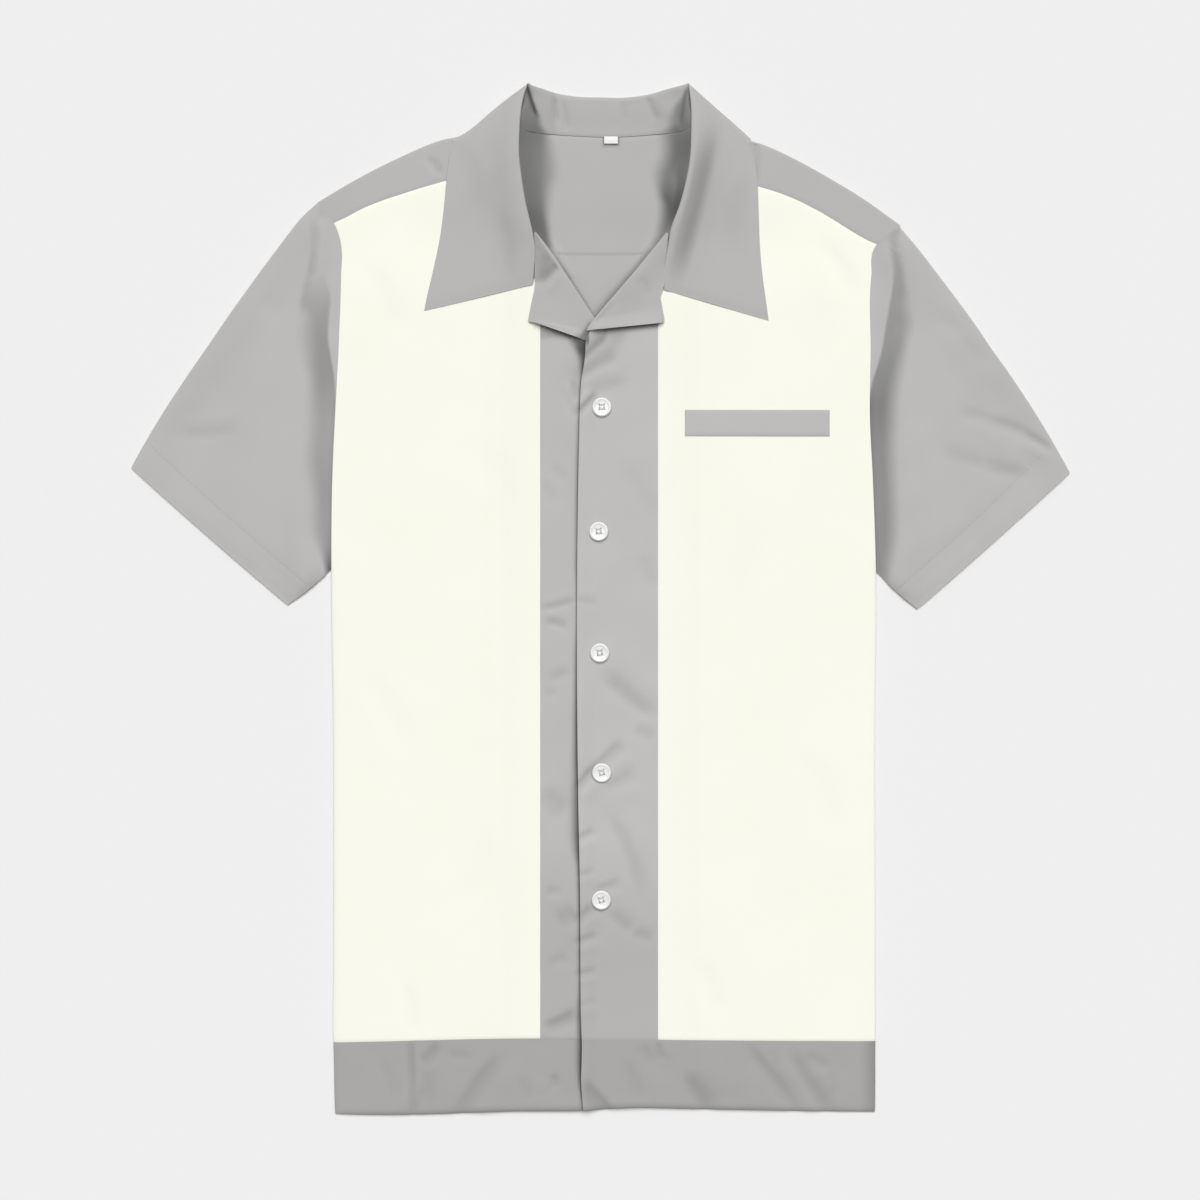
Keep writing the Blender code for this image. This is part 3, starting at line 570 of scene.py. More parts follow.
# Creases of the fronts: x1 y1 x2 y2, bow, depth (below 0 is a trough), the width on either side, and how much
# wider they are at the far end
frontCreases = [
    (4, 206, -20, 185, 0.5, -1.25, 4, 4.8, 1.2),
    (19, 209, 4, 182.5, -1.2, -0.9, 5, 8, 1.3),
    (13, 189, -22, 169.5, -0.8, -1.2, 3.6, 6.5, 1.2),
    (21.4, 169.3, -13.6, 159.9, 0.5, -0.5, 4, 5, 1.2),
    (-3, 160, -19, 143, 0.4, -1.6, 1.8, 2.6, 1.2),
    (-21.5, 170, -17.5, 153, 0.3, -0.9, 3, 3, 1.2),
    (-26.9, 159.1, -18.3, 139.6, 0.5, -0.4, 3, 3, 1.2),
    (16, 106, 46, 60, 2, -0.35, 8, 6, 1.4),
    (-38.5, 103, -26, 92, 0.5, -0.25, 4, 4, 1.2),
    (-43.3, 92, -34.7, 74, -1, -0.3, 4, 5, 1.3),
    (30.8, 33.5, 42.5, 7, 1, -0.4, 5, 4, 1.3),
    (-47, -8.4, -18, -1, -0.8, -0.8, 2.8, 1.7, 1.2),
    (-20, -1.5, -3, -4.5, 0.6, -0.5, 3.2, 2, 1.2),
    (-44.4, -18.3, -25.7, -22.6, 0.8, -0.9, 3.6, 2.2, 1.2),
    (-40, -63, -22.5, -57, 0.5, -0.5, 3.5, 3, 1.2),
    (-45, -75, -34, -73.5, 0.3, -0.3, 3, 3, 1.2),
    (1, -58, 45, -94, -1.5, -1.25, 11, 5.5, 0.8),
    (26.1, -102.2, 42.5, -109.2, 0, -0.6, 6, 4, 1.2),
    (-21, -151, 0.5, -126, 1, -1.3, 2.4, 4.6, 1.3),
    (-2.7, -128.7, 16, -110.8, -0.8, -1.1, 2.6, 5.2, 1.4),
    (2, -149, 27.7, -134.2, 0.6, -0.6, 3.4, 5.5, 1.3),
    (5.1, -166, 33, -232, 3, -0.8, 6, 3.5, 1.4),
    (-44, -149, -25.4, -167.7, -1, -0.7, 6, 9, 1.4),
    (-20.5, -188.6, -4, -180.6, 0.4, -0.9, 2.4, 3.4, 1.2),
    (-20, -216, -4.5, -212, 0.3, -0.5, 1.8, 2.6, 1.2),
    (-5.5, -227, 15, -219.5, -0.6, -0.75, 2.6, 4.4, 1.2),
    (-21, -253, -4, -239, 0.6, -0.9, 3.2, 4.2, 1.2),
    (-21, -268.5, -2.5, -261.5, 0.3, -0.95, 2.2, 3.4, 1.2),
    (-21, -293.5, -3.5, -289, 0.3, -0.75, 2.2, 3.2, 1.2),
    (-19.5, -317, -2.5, -312.6, 0.3, -0.35, 2.2, 3.2, 1.2),
    (7.4, -243.4, 24.6, -259.7, -1, -0.8, 5.5, 2.8, 1.4),
    (24.6, -261.3, 41, -265.2, 0.5, -0.8, 5, 3.2, 1.2),
    (-43.3, -229, -30.8, -227, 0.3, -0.6, 2.4, 3.6, 1.2),
    (-34.7, -252.7, -19.1, -243.4, 0.5, -0.8, 6, 8, 1.2),
    (-41, -284.7, -25.4, -278.5, 0.6, -0.5, 3, 4.6, 1.2),
    (-44.9, -333.1, -18.3, -321.4, -1.6, -1.3, 3, 6, 1.3),
]
hemCreases = [
    (-148.6, -338, -147.4, -402, 0.3, -1.1, 2.8, 1.8, 1.1),
    (-139.6, -380, -146.4, -403, 0.8, -0.7, 2.6, 3.6, 1.3),
    (-126.8, -347, -140, -362.7, 1.2, -0.9, 4.5, 3.4, 1.3),
    (-136.6, -365, -133.4, -402, 0, -0.5, 7, 5, 1.2),
    (-120.5, -355.7, -98.7, -357.2, 0.3, -0.4, 3.4, 3.8, 1.2),
    (-76, -354, -114, -406, -2.4, -0.9, 8, 4, 1.2),
    (-37.8, -370.5, -34.7, -381.4, 0.4, -0.7, 2.8, 3.2, 1.2),
    (-62.8, -373.6, -55, -390.8, 0.6, -0.4, 5, 4, 1.2),
    (-172, -359.6, -156.4, -390.8, 1, -0.4, 6, 4, 1.3),
    (-11.3, -375.2, 9, -400.1, -1.5, -1.4, 2.8, 8, 1.3),
    (18.7, -360.3, 33.6, -393.2, 1, -0.5, 6, 5, 1.3),
    (44.9, -345.5, 47.2, -359.6, 0, -0.8, 2.8, 2.4, 1.2),
    (65.9, -370.5, 87, -400.1, -1, -1.3, 8, 4, 1.4),
    (112.2, -346.8, 156.9, -403.5, 1.5, -0.9, 4.6, 4, 1.3),
    (132.2, -351.8, 137.7, -365.8, 0.4, -0.5, 2.8, 2.8, 1.2),
    (148.8, -352.6, 182, -405.1, -1.2, -1.1, 6.5, 3.8, 1.4),
    (160.3, -353.3, 180.6, -365.8, -1.5, -0.7, 3.6, 5, 1.3),
    (179, -365.8, 182.1, -389.2, 0.5, -0.5, 4, 4.5, 1.2),
    (30.8, -348.7, 42.5, -364.3, 0.5, -0.4, 5, 4, 1.2),
]
ivoryCreases = [
    (-180, 262, -158, 204, 3, -0.35, 6, 8, 1.4),
    (171, 280, 202, 233, 3, -0.5, 5, 7, 1.5),
    (78, -282, 93, -328, 2, -0.4, 5, 7, 1.3),
    (-150, -300, -146, -344, 1, -0.5, 4, 5, 1.2),
    (-92, 120, -70, 60, 4, -0.3, 8, 10, 1.4),
    (120, 60, 96, -20, 5, -0.3, 8, 11, 1.4),
    (-180, -60, -150, -120, 4, -0.3, 7, 9, 1.4),
    (160, -120, 186, -190, 4, -0.3, 7, 10, 1.4),
    (-86, -180, -104, -240, 3, -0.3, 7, 9, 1.4),
]


# Back and its hem band
backPanel = dict(
    size=(420, 610),
    inNeck=(0.38, 0.61, 80),  # shares of the width where its points lie closer together
    upNeck=(0.9, 0.994, 46),  # and of the length
    seamShade=0.15,
)


# Painted shade along the seam of the back with the yoke
def seamShade(y):
    return backPanel["seamShade"] * hump(y - garment["backSeam"], garment["seamWidth"])


def makeBack():
    width, length = backPanel["size"]
    across = np.unique(np.concatenate([shares(50, width), np.linspace(*backPanel["inNeck"])]))
    up = np.unique(np.concatenate([shares(80, length), np.linspace(*backPanel["upNeck"])]))
    x, y = strip(sideRight, sideLeft, hemSeam, fixed(garment["backSeam"]), across, up)
    z = groove(backHeight(x, y) + climbHeight(x, y), across, up, width, length, ("top",))
    # painted shade inside the neck and along the seam
    shade = np.maximum(neckShade(x, y), seamShade(y))
    panel = makeCloth("backPanel", "back", stack(x, y, z, shade), "collarGreyShaded")
    x, y = strip(sideRight, sideLeft, hemBottom, hemSeam, shares(60, width), shares(14, garment["hemBand"]))
    band = makeCloth("backHemBand", "hem_band_back", stack(x, y, backHeight(x, y)), "bandGreyShaded")


makeBack()
print("back made")


# Yoke, from armhole to armhole: the back seam, the shoulder fold and the front seam
yoke = dict(
    sections=[  # back x, top x, top y, front x, front y
        (-202.8, -220.8, 309.4, -208, 292.7),
        (-179, -192.3, 326.2, -183.4, 305.8),
        (-150, -162.6, 341.6, -152.8, 316.7),
        (-117, -126, 357, -119.2, 326.5),
        (-90, -98, 361.5, -97, 331.5),
        (-62, -70, 366.2, -75.5, 337.5),
        (-44, -45.7, 363.8, -75.5, 337.5),
        (-22, -24, 362.2, -75.5, 337.5),
        (1, 1.3, 361.1, 0, 337.5),
        (24, 24.5, 361.7, 82, 333.5),
        (48, 51.9, 363.9, 82, 333.5),
        (68, 77, 366.6, 82, 333.5),
        (94, 100, 360.5, 100, 328.5),
        (118, 125, 354.8, 122.5, 321.9),
        (148, 154.1, 341.7, 144.9, 314.7),
        (174, 182.1, 326.1, 170.8, 302.5),
        (195, 206.3, 311.2, 196.7, 286.9),
        (214.4, 233.6, 291.8, 215.6, 275.8),
    ],
    neckRows=(5, 11),  # sections at the two ends of the neck
    seamWidth=1.2,
    neckDip=0.8,  # how far it dips under the collar's neck edge
    # painted shadow round the neck label
    labelShade=0.5,
)
yokeCreases = [
    (60.5, 336, 56, 296, 1, -1.6, 5, 3, 1),
    (-134, 345, -123, 330, 0.6, -0.9, 2, 3, 1.2),
    (120.2, 362, 122.4, 324, 0, -0.8, 2.6, 1.8, 1),
    (-6, 262, 10, 236, 2, -0.5, 4, 6, 1.3),
]


# Where the front seam runs. It only does so outside the neck, so each side is read on its own.
def yokeFronts(table, marks, at):
    first, last = yoke["neckRows"]
    fronts = through(marks, table)(at)[:, 3:]
    for part in (slice(0, first + 1), slice(last, None)):
        inside = (at >= marks[part][0]) & (at <= marks[part][-1])
        fronts[inside] = through(marks[part], table[part, 3:])(at[inside])
    return fronts


def makeYoke():
    table = np.array(yoke["sections"])
    marks = np.arange(len(table))
    first, last = yoke["neckRows"]
    at = np.unique(np.concatenate([
        np.linspace(0, first, 60), np.linspace(first, last, 110), np.linspace(last, len(table) - 1, 60)]))
    backEndX, topX, topY = through(marks, table)(at)[:, :3].T
    fronts = yokeFronts(table, marks, at)
    hasFront = (at <= first) | (at >= last)
    seam = garment["backSeam"]
    # up the back
    rowsUp = np.linspace(0, 1, 40)[:, None]
    backX, backY = backEndX + (topX - backEndX) * rowsUp, seam + (topY - seam) * rowsUp
    backX[:, 0], backX[:, -1] = sideRight(backY[:, 0]), sideLeft(backY[:, -1])
    folds = relief(backX, backY, yokeCreases)
    backZ = backHeight(backX, backY) + climbHeight(backX, backY) + folds
    backZ -= garment["seamGroove"] * hump(backY - seam, yoke["seamWidth"])
    backZ -= yoke["neckDip"] * hump(topY - backY, 1.1) * ~hasFront
    low, high = [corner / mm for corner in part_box("neck_label")]
    fromLabel = np.maximum(np.maximum(low.x - backX, backX - high.x),
                           np.maximum(low.y - backY, backY - high.y))
    # painted shade inside the neck, in the creases, along the seam and round the label
    backShade = np.maximum(neckShade(backX, backY), np.maximum(creaseShade(folds), seamShade(backY)))
    backShade = np.maximum(backShade, yoke["labelShade"] * hump(np.maximum(fromLabel, 0), 1.3))
    # over the shoulder
    high, low = frontHeight(topX, topY), backZ[-1]
    radius = (high - low) / 2
    outward = np.stack([topX - fronts[:, 0], topY - fronts[:, 1]], axis=-1)
    outward /= np.linalg.norm(outward, axis=-1, keepdims=True)
    inset = np.where(hasFront, radius, 0)[:, None] * outward
    topX, topY = topX - inset[:, 0], topY - inset[:, 1]
    backX[-1], backY[-1] = topX, topY
    turns = []
    for angle in np.linspace(0, math.pi, 9)[1:-1]:
        reach = outward * (radius * math.sin(angle))[:, None]
        turns.append(stack(topX + reach[:, 0], topY + reach[:, 1],
                           (low + high) / 2 - radius * math.cos(angle)))
    # down the front
    down = np.linspace(0, 1, 22)[:, None]
    frontX, frontY = topX + (fronts[:, 0] - topX) * down, topY + (fronts[:, 1] - topY) * down
    folds = relief(frontX, frontY, yokeCreases)
    frontZ = frontHeight(frontX, frontY) + folds
    frontZ -= garment["seamGroove"] * hump(frontY - fronts[:, 1], yoke["seamWidth"])
    over = np.concatenate([np.array(turns), stack(frontX, frontY, frontZ, creaseShade(folds))])
    over[:, ~hasFront] = np.nan
    points = np.concatenate([stack(backX, backY, backZ, backShade), over])
    piece = makeCloth("shoulderYoke", "yoke", points, "collarGreyShaded")


makeYoke()
print("yoke made")


# Side fronts, in ivory, up to the yoke and the neck
neckEdge = dict(right=[(-73, 322), (-68, 306), (-60.5, 289), (-53, 273), (-47, 262)],
                left=[(78.5, 319), (72, 302), (62.5, 287), (53, 272), (44.8, 262)])


def makeSideFront(name, node, left, right, yokeRows, side, seed):
    width, length, sewn = 160, 650, 640
    across, up = shares(62, width), shares(240, length)
    top = curveOf([(row[3], row[4]) for row in yoke["sections"][yokeRows]] + neckEdge[side])
    x, y = strip(left, right, hemSeam, lambda x: top(x) + 1.3, across, up)  # a little under the yoke
    folds = relief(x, y, ivoryCreases)
    z = groove(frontHeight(x, y) + folds + ripple(x, y, "sideFront", seed), across, up, width, sewn,
               (side, "bottom", "top"))
    fromSide = np.minimum(np.abs(x - sideRight(y)), np.abs(sideLeft(y) - x))
    # its top edge dips where the yoke lies on it
    z -= 0.8 * hump(length * (1 - up), 1.8)[:, None] * smoothStep((fromSide - 2) / 16)
    # painted shade in its creases, weaker than on the grey cloth
    front = makeCloth(name, node, stack(x, y, z, creaseShade(folds) * 0.3), "ivory")


makeSideFront("sideFrontRight", "side_front_right", sideRight, fixed(garment["seamRight"]), slice(0, 6),
              "right", 3)
makeSideFront("sideFrontLeft", "side_front_left", fixed(garment["seamLeft"]), sideLeft, slice(11, 18),
              "left", 8)
print("side fronts made")


# Centre fronts, hem bands: the wearer's right side lies beneath, the left one over it
# Painted shade under the free edge of the lap: y, how far it reaches and how dark it is
underLapShade = [(-402, 1, 0.9), (-383, 1.7, 0.9), (-372, 2.7, 0.9), (-360, 3.7, 0.92), (-345, 3.8, 0.88),
            (-328, 4.3, 0.74), (-316, 3.4, 0.74), (-303, 2.5, 0.78), (-212, 2.6, 0.78), (-196, 4.4, 0.82),
            (-180, 5.4, 0.78), (-157, 5, 0.74), (-140, 4, 0.78), (-126, 3.8, 0.84), (-110, 3.4, 0.84),
            (-79, 2.8, 0.82), (-40, 2.2, 0.74), (-14, 1.5, 0.70), (2, 1.5, 0.70), (30, 2.2, 0.68),
            (108, 2.4, 0.66), (140, 2, 0.68), (165, 2, 0.70), (176, 2.3, 0.74), (183, 3.4, 0.78),
            (187, 4.6, 0.80), (191, 6.2, 0.80), (195, 8.6, 0.79), (199, 11, 0.79), (212, 15, 0.76)]
underLapShadeAt = tableOf(underLapShade, calm=True)
# Painted shade along the lower edges of the lapels: from, to, how far it reaches, how short of the far end it
# stops
lapelEdgeShade = dict(
    edges=[((-54.5, 216.2), (-12.5, 201), 1.9, -3), ((-10.6, 208.4), (47.2, 214.8), 1.6, 1)],
    dark=0.6,
    atStart=0.35,  # share of it beside the start
)
# The deepest fold of the lap runs through here, down from the lapel to the free edge, with painted shade
# along it
lapFold = dict(x=4.0, y=204.5, slope=0.89, width=4.2, shade=0.27)
centreFront = dict(under=65, lap=62, length=560)  # widths of the two, and the length up to the lapels
upCentre = shares(260, 600)


# Painted shade on the cloth beside the free edge of the lap
def placketShade(x, y):
    reach, dark = underLapShadeAt(y)
    fall = 2 + 2 * smoothStep((y - 186) / 8)
    return dark * np.exp(-((np.maximum(lapEdge(y) + 0.6 - x, 0) / reach) ** fall))


# Painted shade on the cloth below the lower edges of the lapels
def lapelShade(x, y):
    shade = np.zeros_like(x)
    start = lapelEdgeShade["atStart"]
    for (x1, y1), (x2, y2), reach, short in lapelEdgeShade["edges"]:
        below = np.maximum(y1 + (y2 - y1) * (x - x1) / (x2 - x1) - 0.5 - y, 0)
        along = smoothStep((x - x1 - 2) / 16) * (1 - smoothStep((x - x2 + short) / 3))
        dark = lapelEdgeShade["dark"] * hump(below, reach) * (start + (1 - start) * along)
        shade = np.maximum(shade, dark * (x < x2 + 3))
    return shade


# Painted shade on the centre fronts, darker toward the hem
def frontShade(y):
    amount, start, run = garment["fade"]
    return amount * smoothStep((start - y) / run)


def makeUnderFront():
    width, length = centreFront["under"], centreFront["length"]
    across = shares(44, width)
    line = curveOf([(row[1], row[0]) for row in roll["right"][1:6]] + [(9.0, 189.0), (18.0, 179.0)])
    x, y = strip(fixed(garment["seamRight"]), fixed(garment["underlap"]), lambda x: hemSeam(x) - 0.6,
                 lambda x: line(x) - 4, across, upCentre)
    folds, paintedShading = relief(x, y, frontCreases), placketShade(x, y)
    z = frontHeight(x, y) + folds + ripple(x, y, "centreFront", 5) - garment["pressed"] * paintedShading
    z -= garment["hemTuck"] * hump(upCentre[:, None] * length, 1.2)
    z = groove(z, across, upCentre, width, length, ("left",))
    # painted shade in the creases, toward the hem, beside the lap's edge and below the lapels
    shade = np.maximum(creaseShade(folds) + frontShade(y) * garment["underHemShade"], paintedShading)
    shade = np.maximum(shade, lapelShade(x, y))
    under = makeCloth("underFront", "centre_front_right", stack(x, y, z, shade), "grey")


def makeLapFront():
    width, length = centreFront["lap"], centreFront["length"]
    across = shares(38, width)
    acrossGrid, upGrid = np.meshgrid(across, upCentre)
    bottom = hemSeam(-15 + 60 * acrossGrid) - 0.6
    topX = -11.6 + (garment["seamLeft"] + 11.6) * acrossGrid
    topY = curveOf([(row[1], row[0]) for row in roll["left"][1:5]])(topX) - 4
    y = bottom + (topY - bottom) * upGrid
    edge = lapEdge(y)
    x = edge + (garment["seamLeft"] - edge) * acrossGrid
    x += (topX - x) * smoothStep((y - 168) / 36)
    folds = relief(x, y, frontCreases)
    z = lapHeight(x, y) + folds + ripple(x, y, "centreFront", 6)
    z -= garment["edgeTuck"] * hump(acrossGrid * width, 1.4)
    z -= garment["hemTuck"] * hump(upGrid * length, 1.2)
    z = groove(z, across, upCentre, width, length, ("right",))
    # painted shade in the creases, toward the hem, below the lapels and along the lap's fold
    shade = np.maximum(creaseShade(folds) + frontShade(y) * garment["lapHemShade"], lapelShade(x, y))
    fold = hump(y - lapFold["y"] - (x - lapFold["x"]) * lapFold["slope"], lapFold["width"])
    shade = shade + lapFold["shade"] * fold * smoothStep((x + 17) / 5) * smoothStep((7 - x) / 5)
    lap = makeCloth("lapFront", "centre_front_left", stack(x, y, z, shade), "lapGreyLit")


def makeHemBand(name, node, left, right, side, width, seed):
    across, up = shares(120, width), shares(26, garment["hemBand"])
    x, y = strip(left, right, hemBottom, hemSeam, across, up)
    folds = relief(x, y, hemCreases)
    z = panelHeight[side](x, y) + folds + ripple(x, y, "hemBand", seed)
    if side == "left":
        z -= garment["edgeTuck"] * hump(across * width, 1.4)
        shade = creaseShade(folds) + 0.26 * smoothStep((x - 198) / 17) ** 1.6  # painted shade, darker toward the side
    else:
        # painted shade beside the lap's edge
        paintedShading = placketShade(x, y)
        shade = np.maximum(creaseShade(folds), paintedShading)
        z -= garment["pressed"] * paintedShading
    band = makeCloth(name, node, stack(x, y, z, shade), "bandGreyShaded")


makeUnderFront()
makeLapFront()
makeHemBand("hemBandRight", "hem_band_right", sideRight, fixed(garment["underlap"]), "right", 225, 11)
makeHemBand("hemBandLeft", "hem_band_left", lapEdge, sideLeft, "left", 230, 12)
print("centre fronts and hem bands made")


# Sleeves: flattened tubes, folded along the top from the shoulder point and along the underarm
sleeve = dict(
    fold=dict(
        right=[(0, -220.8, 310.6), (0.05, -226.9, 304.6), (0.12, -237, 292.8), (0.2, -249.5, 276.4),
               (0.4, -282, 231.8), (0.55, -304.3, 200), (0.7, -325.7, 169.3), (0.85, -346.2, 138),
               (1, -366.5, 102.7)],
        left=[(0, 233.8, 292.6), (0.05, 240.4, 282.3), (0.12, 249, 271.3), (0.4, 286.5, 221.4),
              (0.55, 305.7, 194.1), (0.7, 325, 166.9), (0.85, 345.5, 135.4), (1, 366.5, 98.8)],
    ),
    cuff=dict(right=(-243.7, -4.9), left=(246.8, -8.2)),
    cuffHollow=dict(right=-0.8, left=-0.7),
    underarm=dict(right=21.8, left=20.5),
    loft=6.2,
    atArmhole=0.3,  # share of the loft that is there beside the armhole
    toCuff=0.8,  # share that is gone at the cuff
    foldRound=12.0,  # how far in from its folds it takes to rise
    sink=2.0,  # how far a sleeve falls beside its armhole
    # painted shade along the top fold
    crownShade=0.08,
    hem=22.0,  # depth of the turned hem
    dent=0.17,  # along the hem's stitches
    close=9.0,  # how far from the cuff its two layers begin to close
)
sleeveCreases = dict(
    right=[
        (-224.2, 294.1, -221.9, 270.7, 0.4, -1.3, 3.4, 3, 1.1),
        (-221.9, 275.3, -225.8, 248.8, 0.3, -1.3, 3.8, 3, 1.1),
        (-225, 255.1, -231.3, 216.1, -0.4, -1.1, 6, 3.4, 1.2),
        (-214.1, 306.5, -218.8, 294.1, 0.4, -0.8, 2.8, 2.8, 1.2),
        (-331.1, 128, -282, 132.5, -1.2, -0.5, 4.5, 4, 1.3),
        (-264, 233.2, -248.4, 219.2, 0.6, -0.3, 5, 6, 1.3),
    ],
    left=[
        (227, 288, 231.5, 258, 0.6, -0.6, 5, 4, 1.1),
        (231.5, 268, 234.5, 226, 0.4, -0.7, 6, 4.4, 1.2),
        (236, 244, 236.5, 205, 1, -0.6, 6, 5, 1.2),
        (352.9, 116.2, 330.3, 130.3, -0.8, -1.6, 3.4, 1.8, 1.6),
        (333.4, 128.7, 303.8, 139.6, -1, -1, 5, 3.4, 1.3),
        (308.5, 138.1, 280.4, 145.9, -0.6, -0.5, 5, 4, 1.2),
        (333.4, 97.5, 299.1, 104.5, 1, -1, 5, 7, 1.2),
        (303.8, 103.7, 266.4, 114.7, 0.8, -0.5, 5, 6, 1.2),
        (266.4, 220.7, 285.1, 203.6, 1, -0.6, 4.6, 7, 1.2),
        (283.5, 205.1, 303.8, 181.7, -0.8, -0.6, 4.6, 7, 1.3),
    ],
)
# Where each sleeve falls away beside its armhole: y, then how far out the fall starts, how far it is deepest
# and where it ends, and how dark its painted shade is there
armholeShadeRows = dict(
    right=[(16, 0, 2, 5.5, 0.78), (25, 0, 1.8, 7, 0.66), (35, 0, 1.8, 11, 0.44), (54, 0, 3, 19.5, 0.33),
           (77, 0, 4.5, 19.5, 0.33), (108, 0, 8.5, 25, 0.28), (140, 0.5, 8.5, 25, 0.27),
           (158, 2, 10, 26, 0.32), (171, 3.5, 11, 27, 0.37), (186, 6.5, 11.5, 32, 0.38),
           (202, 9.5, 12, 36, 0.38), (217, 9.5, 18, 35, 0.30), (233, 8.5, 25, 33, 0.21),
           (243, 10, 22, 30, 0.12), (252, 12, 20, 28, 0.03)],
    left=[(13, 0, 2.5, 13, 0.46), (30, 0, 3.5, 17, 0.44), (45, 0, 5.5, 20, 0.42), (61, 0, 6.5, 21.5, 0.41),
          (108, 0, 6.5, 22, 0.44), (130, 0, 7, 24, 0.48), (155, 0.5, 8.5, 26, 0.52), (168, 3, 11, 28, 0.47),
          (186, 8, 16, 31, 0.42), (198, 10.5, 20, 32.5, 0.39), (210, 12.5, 22, 36, 0.37),
          (226, 15.5, 22, 34, 0.36), (241, 17.5, 21.5, 31, 0.35), (256, 16, 19.5, 27, 0.32),
          (270, 13, 16.5, 22, 0.28), (277, 8.5, 11.5, 18, 0.27), (283, 3.5, 6.5, 12, 0.24),
          (288, 0.5, 3, 8, 0.12), (291, 0, 2, 7, 0)],
)


def armholeFall(away, y, side):  # how far the sleeve has fallen, from 0 to 1, and its painted shade
    start, deep, end, amount = tableOf(armholeShadeRows[side])(y)
    onset = 3 + 2.5 * smoothStep((y - 235) / 25)
    fall = smoothStep((away - start + 2.5) / onset) * (1 - smoothStep((away - deep) / (end - deep)))
    return fall * amount / 0.4, fall * amount + 0.07 * hump(away, 2.5) * smoothStep((178 - y) / 30)


# Half a circle from the edge of one layer round to the edge of the other
def foldOver(edge, other, away):
    away = away / np.linalg.norm(away, axis=-1, keepdims=True)
    middle, half = (edge[:, 2] + other[:, 2]) / 2, (edge[:, 2] - other[:, 2]) / 2
    turn = []
    for angle in np.linspace(0, math.pi, 8)[1:-1]:
        reach = away * (np.abs(half) * math.sin(angle))[:, None]
        height = middle + half * math.cos(angle)
        turn.append(stack(edge[:, 0] + reach[:, 0], edge[:, 1] + reach[:, 1], height))
    return np.array(turn)


def makeSleeve(name, node, side, armhole, seed):
    outward = -1 if side == "right" else 1
    fold, corner = np.array(sleeve["fold"][side]), np.array(sleeve["cuff"][side])
    underarm = sleeve["underarm"][side]
    shoulder, tip = np.array([armhole(fold[0, 2]), fold[0, 2]]), fold[-1, 1:]
    # shares from the armhole out to the cuff, and from the underarm up to the fold
    parts = np.concatenate([[0, 0.003, 0.008, 0.015], np.linspace(0.025, 0.3, 40),
                            np.linspace(0.312, 0.985, 42), [0.991, 0.995, 0.998, 1]])
    ups = np.concatenate([[0, 0.003, 0.008, 0.015, 0.025], np.linspace(0.035, 0.965, 130),
                          [0.975, 0.985, 0.992, 0.997, 1]])
    partGrid, upGrid = np.meshgrid(parts, 0.006 + 0.988 * ups)
    arch = through(fold[:, 0], fold[:, 1:])(parts) - (shoulder + (tip - shoulder) * parts[:, None])
    startY = underarm + (shoulder[1] - underarm) * upGrid
    start = np.stack([armhole(startY), startY], axis=-1)
    end = corner + (tip - corner) * upGrid[..., None]
    inward = np.array([-(tip - corner)[1], (tip - corner)[0]]) * outward / np.linalg.norm(tip - corner)
    end += inward * (sleeve["cuffHollow"][side] * 4 * upGrid * (1 - upGrid))[..., None]
    flat = start + (end - start) * partGrid[..., None] + arch[None, :, :] * (upGrid**3)[..., None]
    x, y = flat[..., 0], flat[..., 1]
    length = np.linalg.norm(flat[-1] - flat[0], axis=-1)[None, :]
    fromArmhole = np.abs(x) - np.abs(armhole(np.clip(y, underarm, shoulder[1])))
    fromFold = np.minimum(upGrid, 1 - upGrid) * length
    fromCuff = (1 - partGrid) * np.linalg.norm(end - start, axis=-1)
    puff = sleeve["atArmhole"] + (1 - sleeve["atArmhole"]) * smoothStep((fromArmhole - 2) / 24)
    puff *= 1 - sleeve["toCuff"] * smoothStep((partGrid - 0.35) / 0.65)
    low = garment["wall"] / 2
    z = low + garment["layer"] + 0.1 + sleeve["loft"] * puff * roundUp(fromFold / sleeve["foldRound"])
    inside = roundUp(fromFold / 9) * smoothStep((1.02 - partGrid) / 0.06 + 0.4)
    folds = relief(x, y, sleeveCreases[side]) * inside
    fall, shade = armholeFall(fromArmhole, y, side)
    z += folds + ripple(x, y, "sleeve", seed) * inside - sleeve["sink"] * fall * inside
    # painted shade along the top fold and in the creases
    crown = sleeve["crownShade"] * hump((1 - upGrid) * length, 24) * (1 - 0.6 * partGrid)
    shade = np.maximum(np.maximum(shade, crown), creaseShade(folds))
    dent = hump(fromCuff - sleeve["hem"], 1.2)
    z -= sleeve["dent"] * dent
    # painted shade along the hem's stitches
    shade = np.maximum(shade, 0.02 * dent)
    z *= 0.75 + 0.25 * smoothStep(fromCuff / sleeve["close"])
    z = np.maximum(z, low + garment["layer"] * 0.75)
    front, back = stack(x, y, z, shade), stack(x, y, np.full_like(z, low))[::-1]
    ring = np.concatenate([front, foldOver(front[-1], back[0], flat[-1] - flat[-6]), back,
                           foldOver(back[-1], front[0], flat[0] - flat[5]), front[:1]])
    piece = makeCloth(name, node, ring, "grey")
    return front, fromCuff


rightSleeve = makeSleeve("sleeveRight", "sleeve_right", "right", sideRight, 21)
leftSleeve = makeSleeve("sleeveLeft", "sleeve_left", "left", sideLeft, 22)
print("sleeves made")


# Stitches along the turned hem of each sleeve
stitch = dict(pitch=4.2, length=2.9, thick=0.22, fromEnds=5.0, lift=0.05)


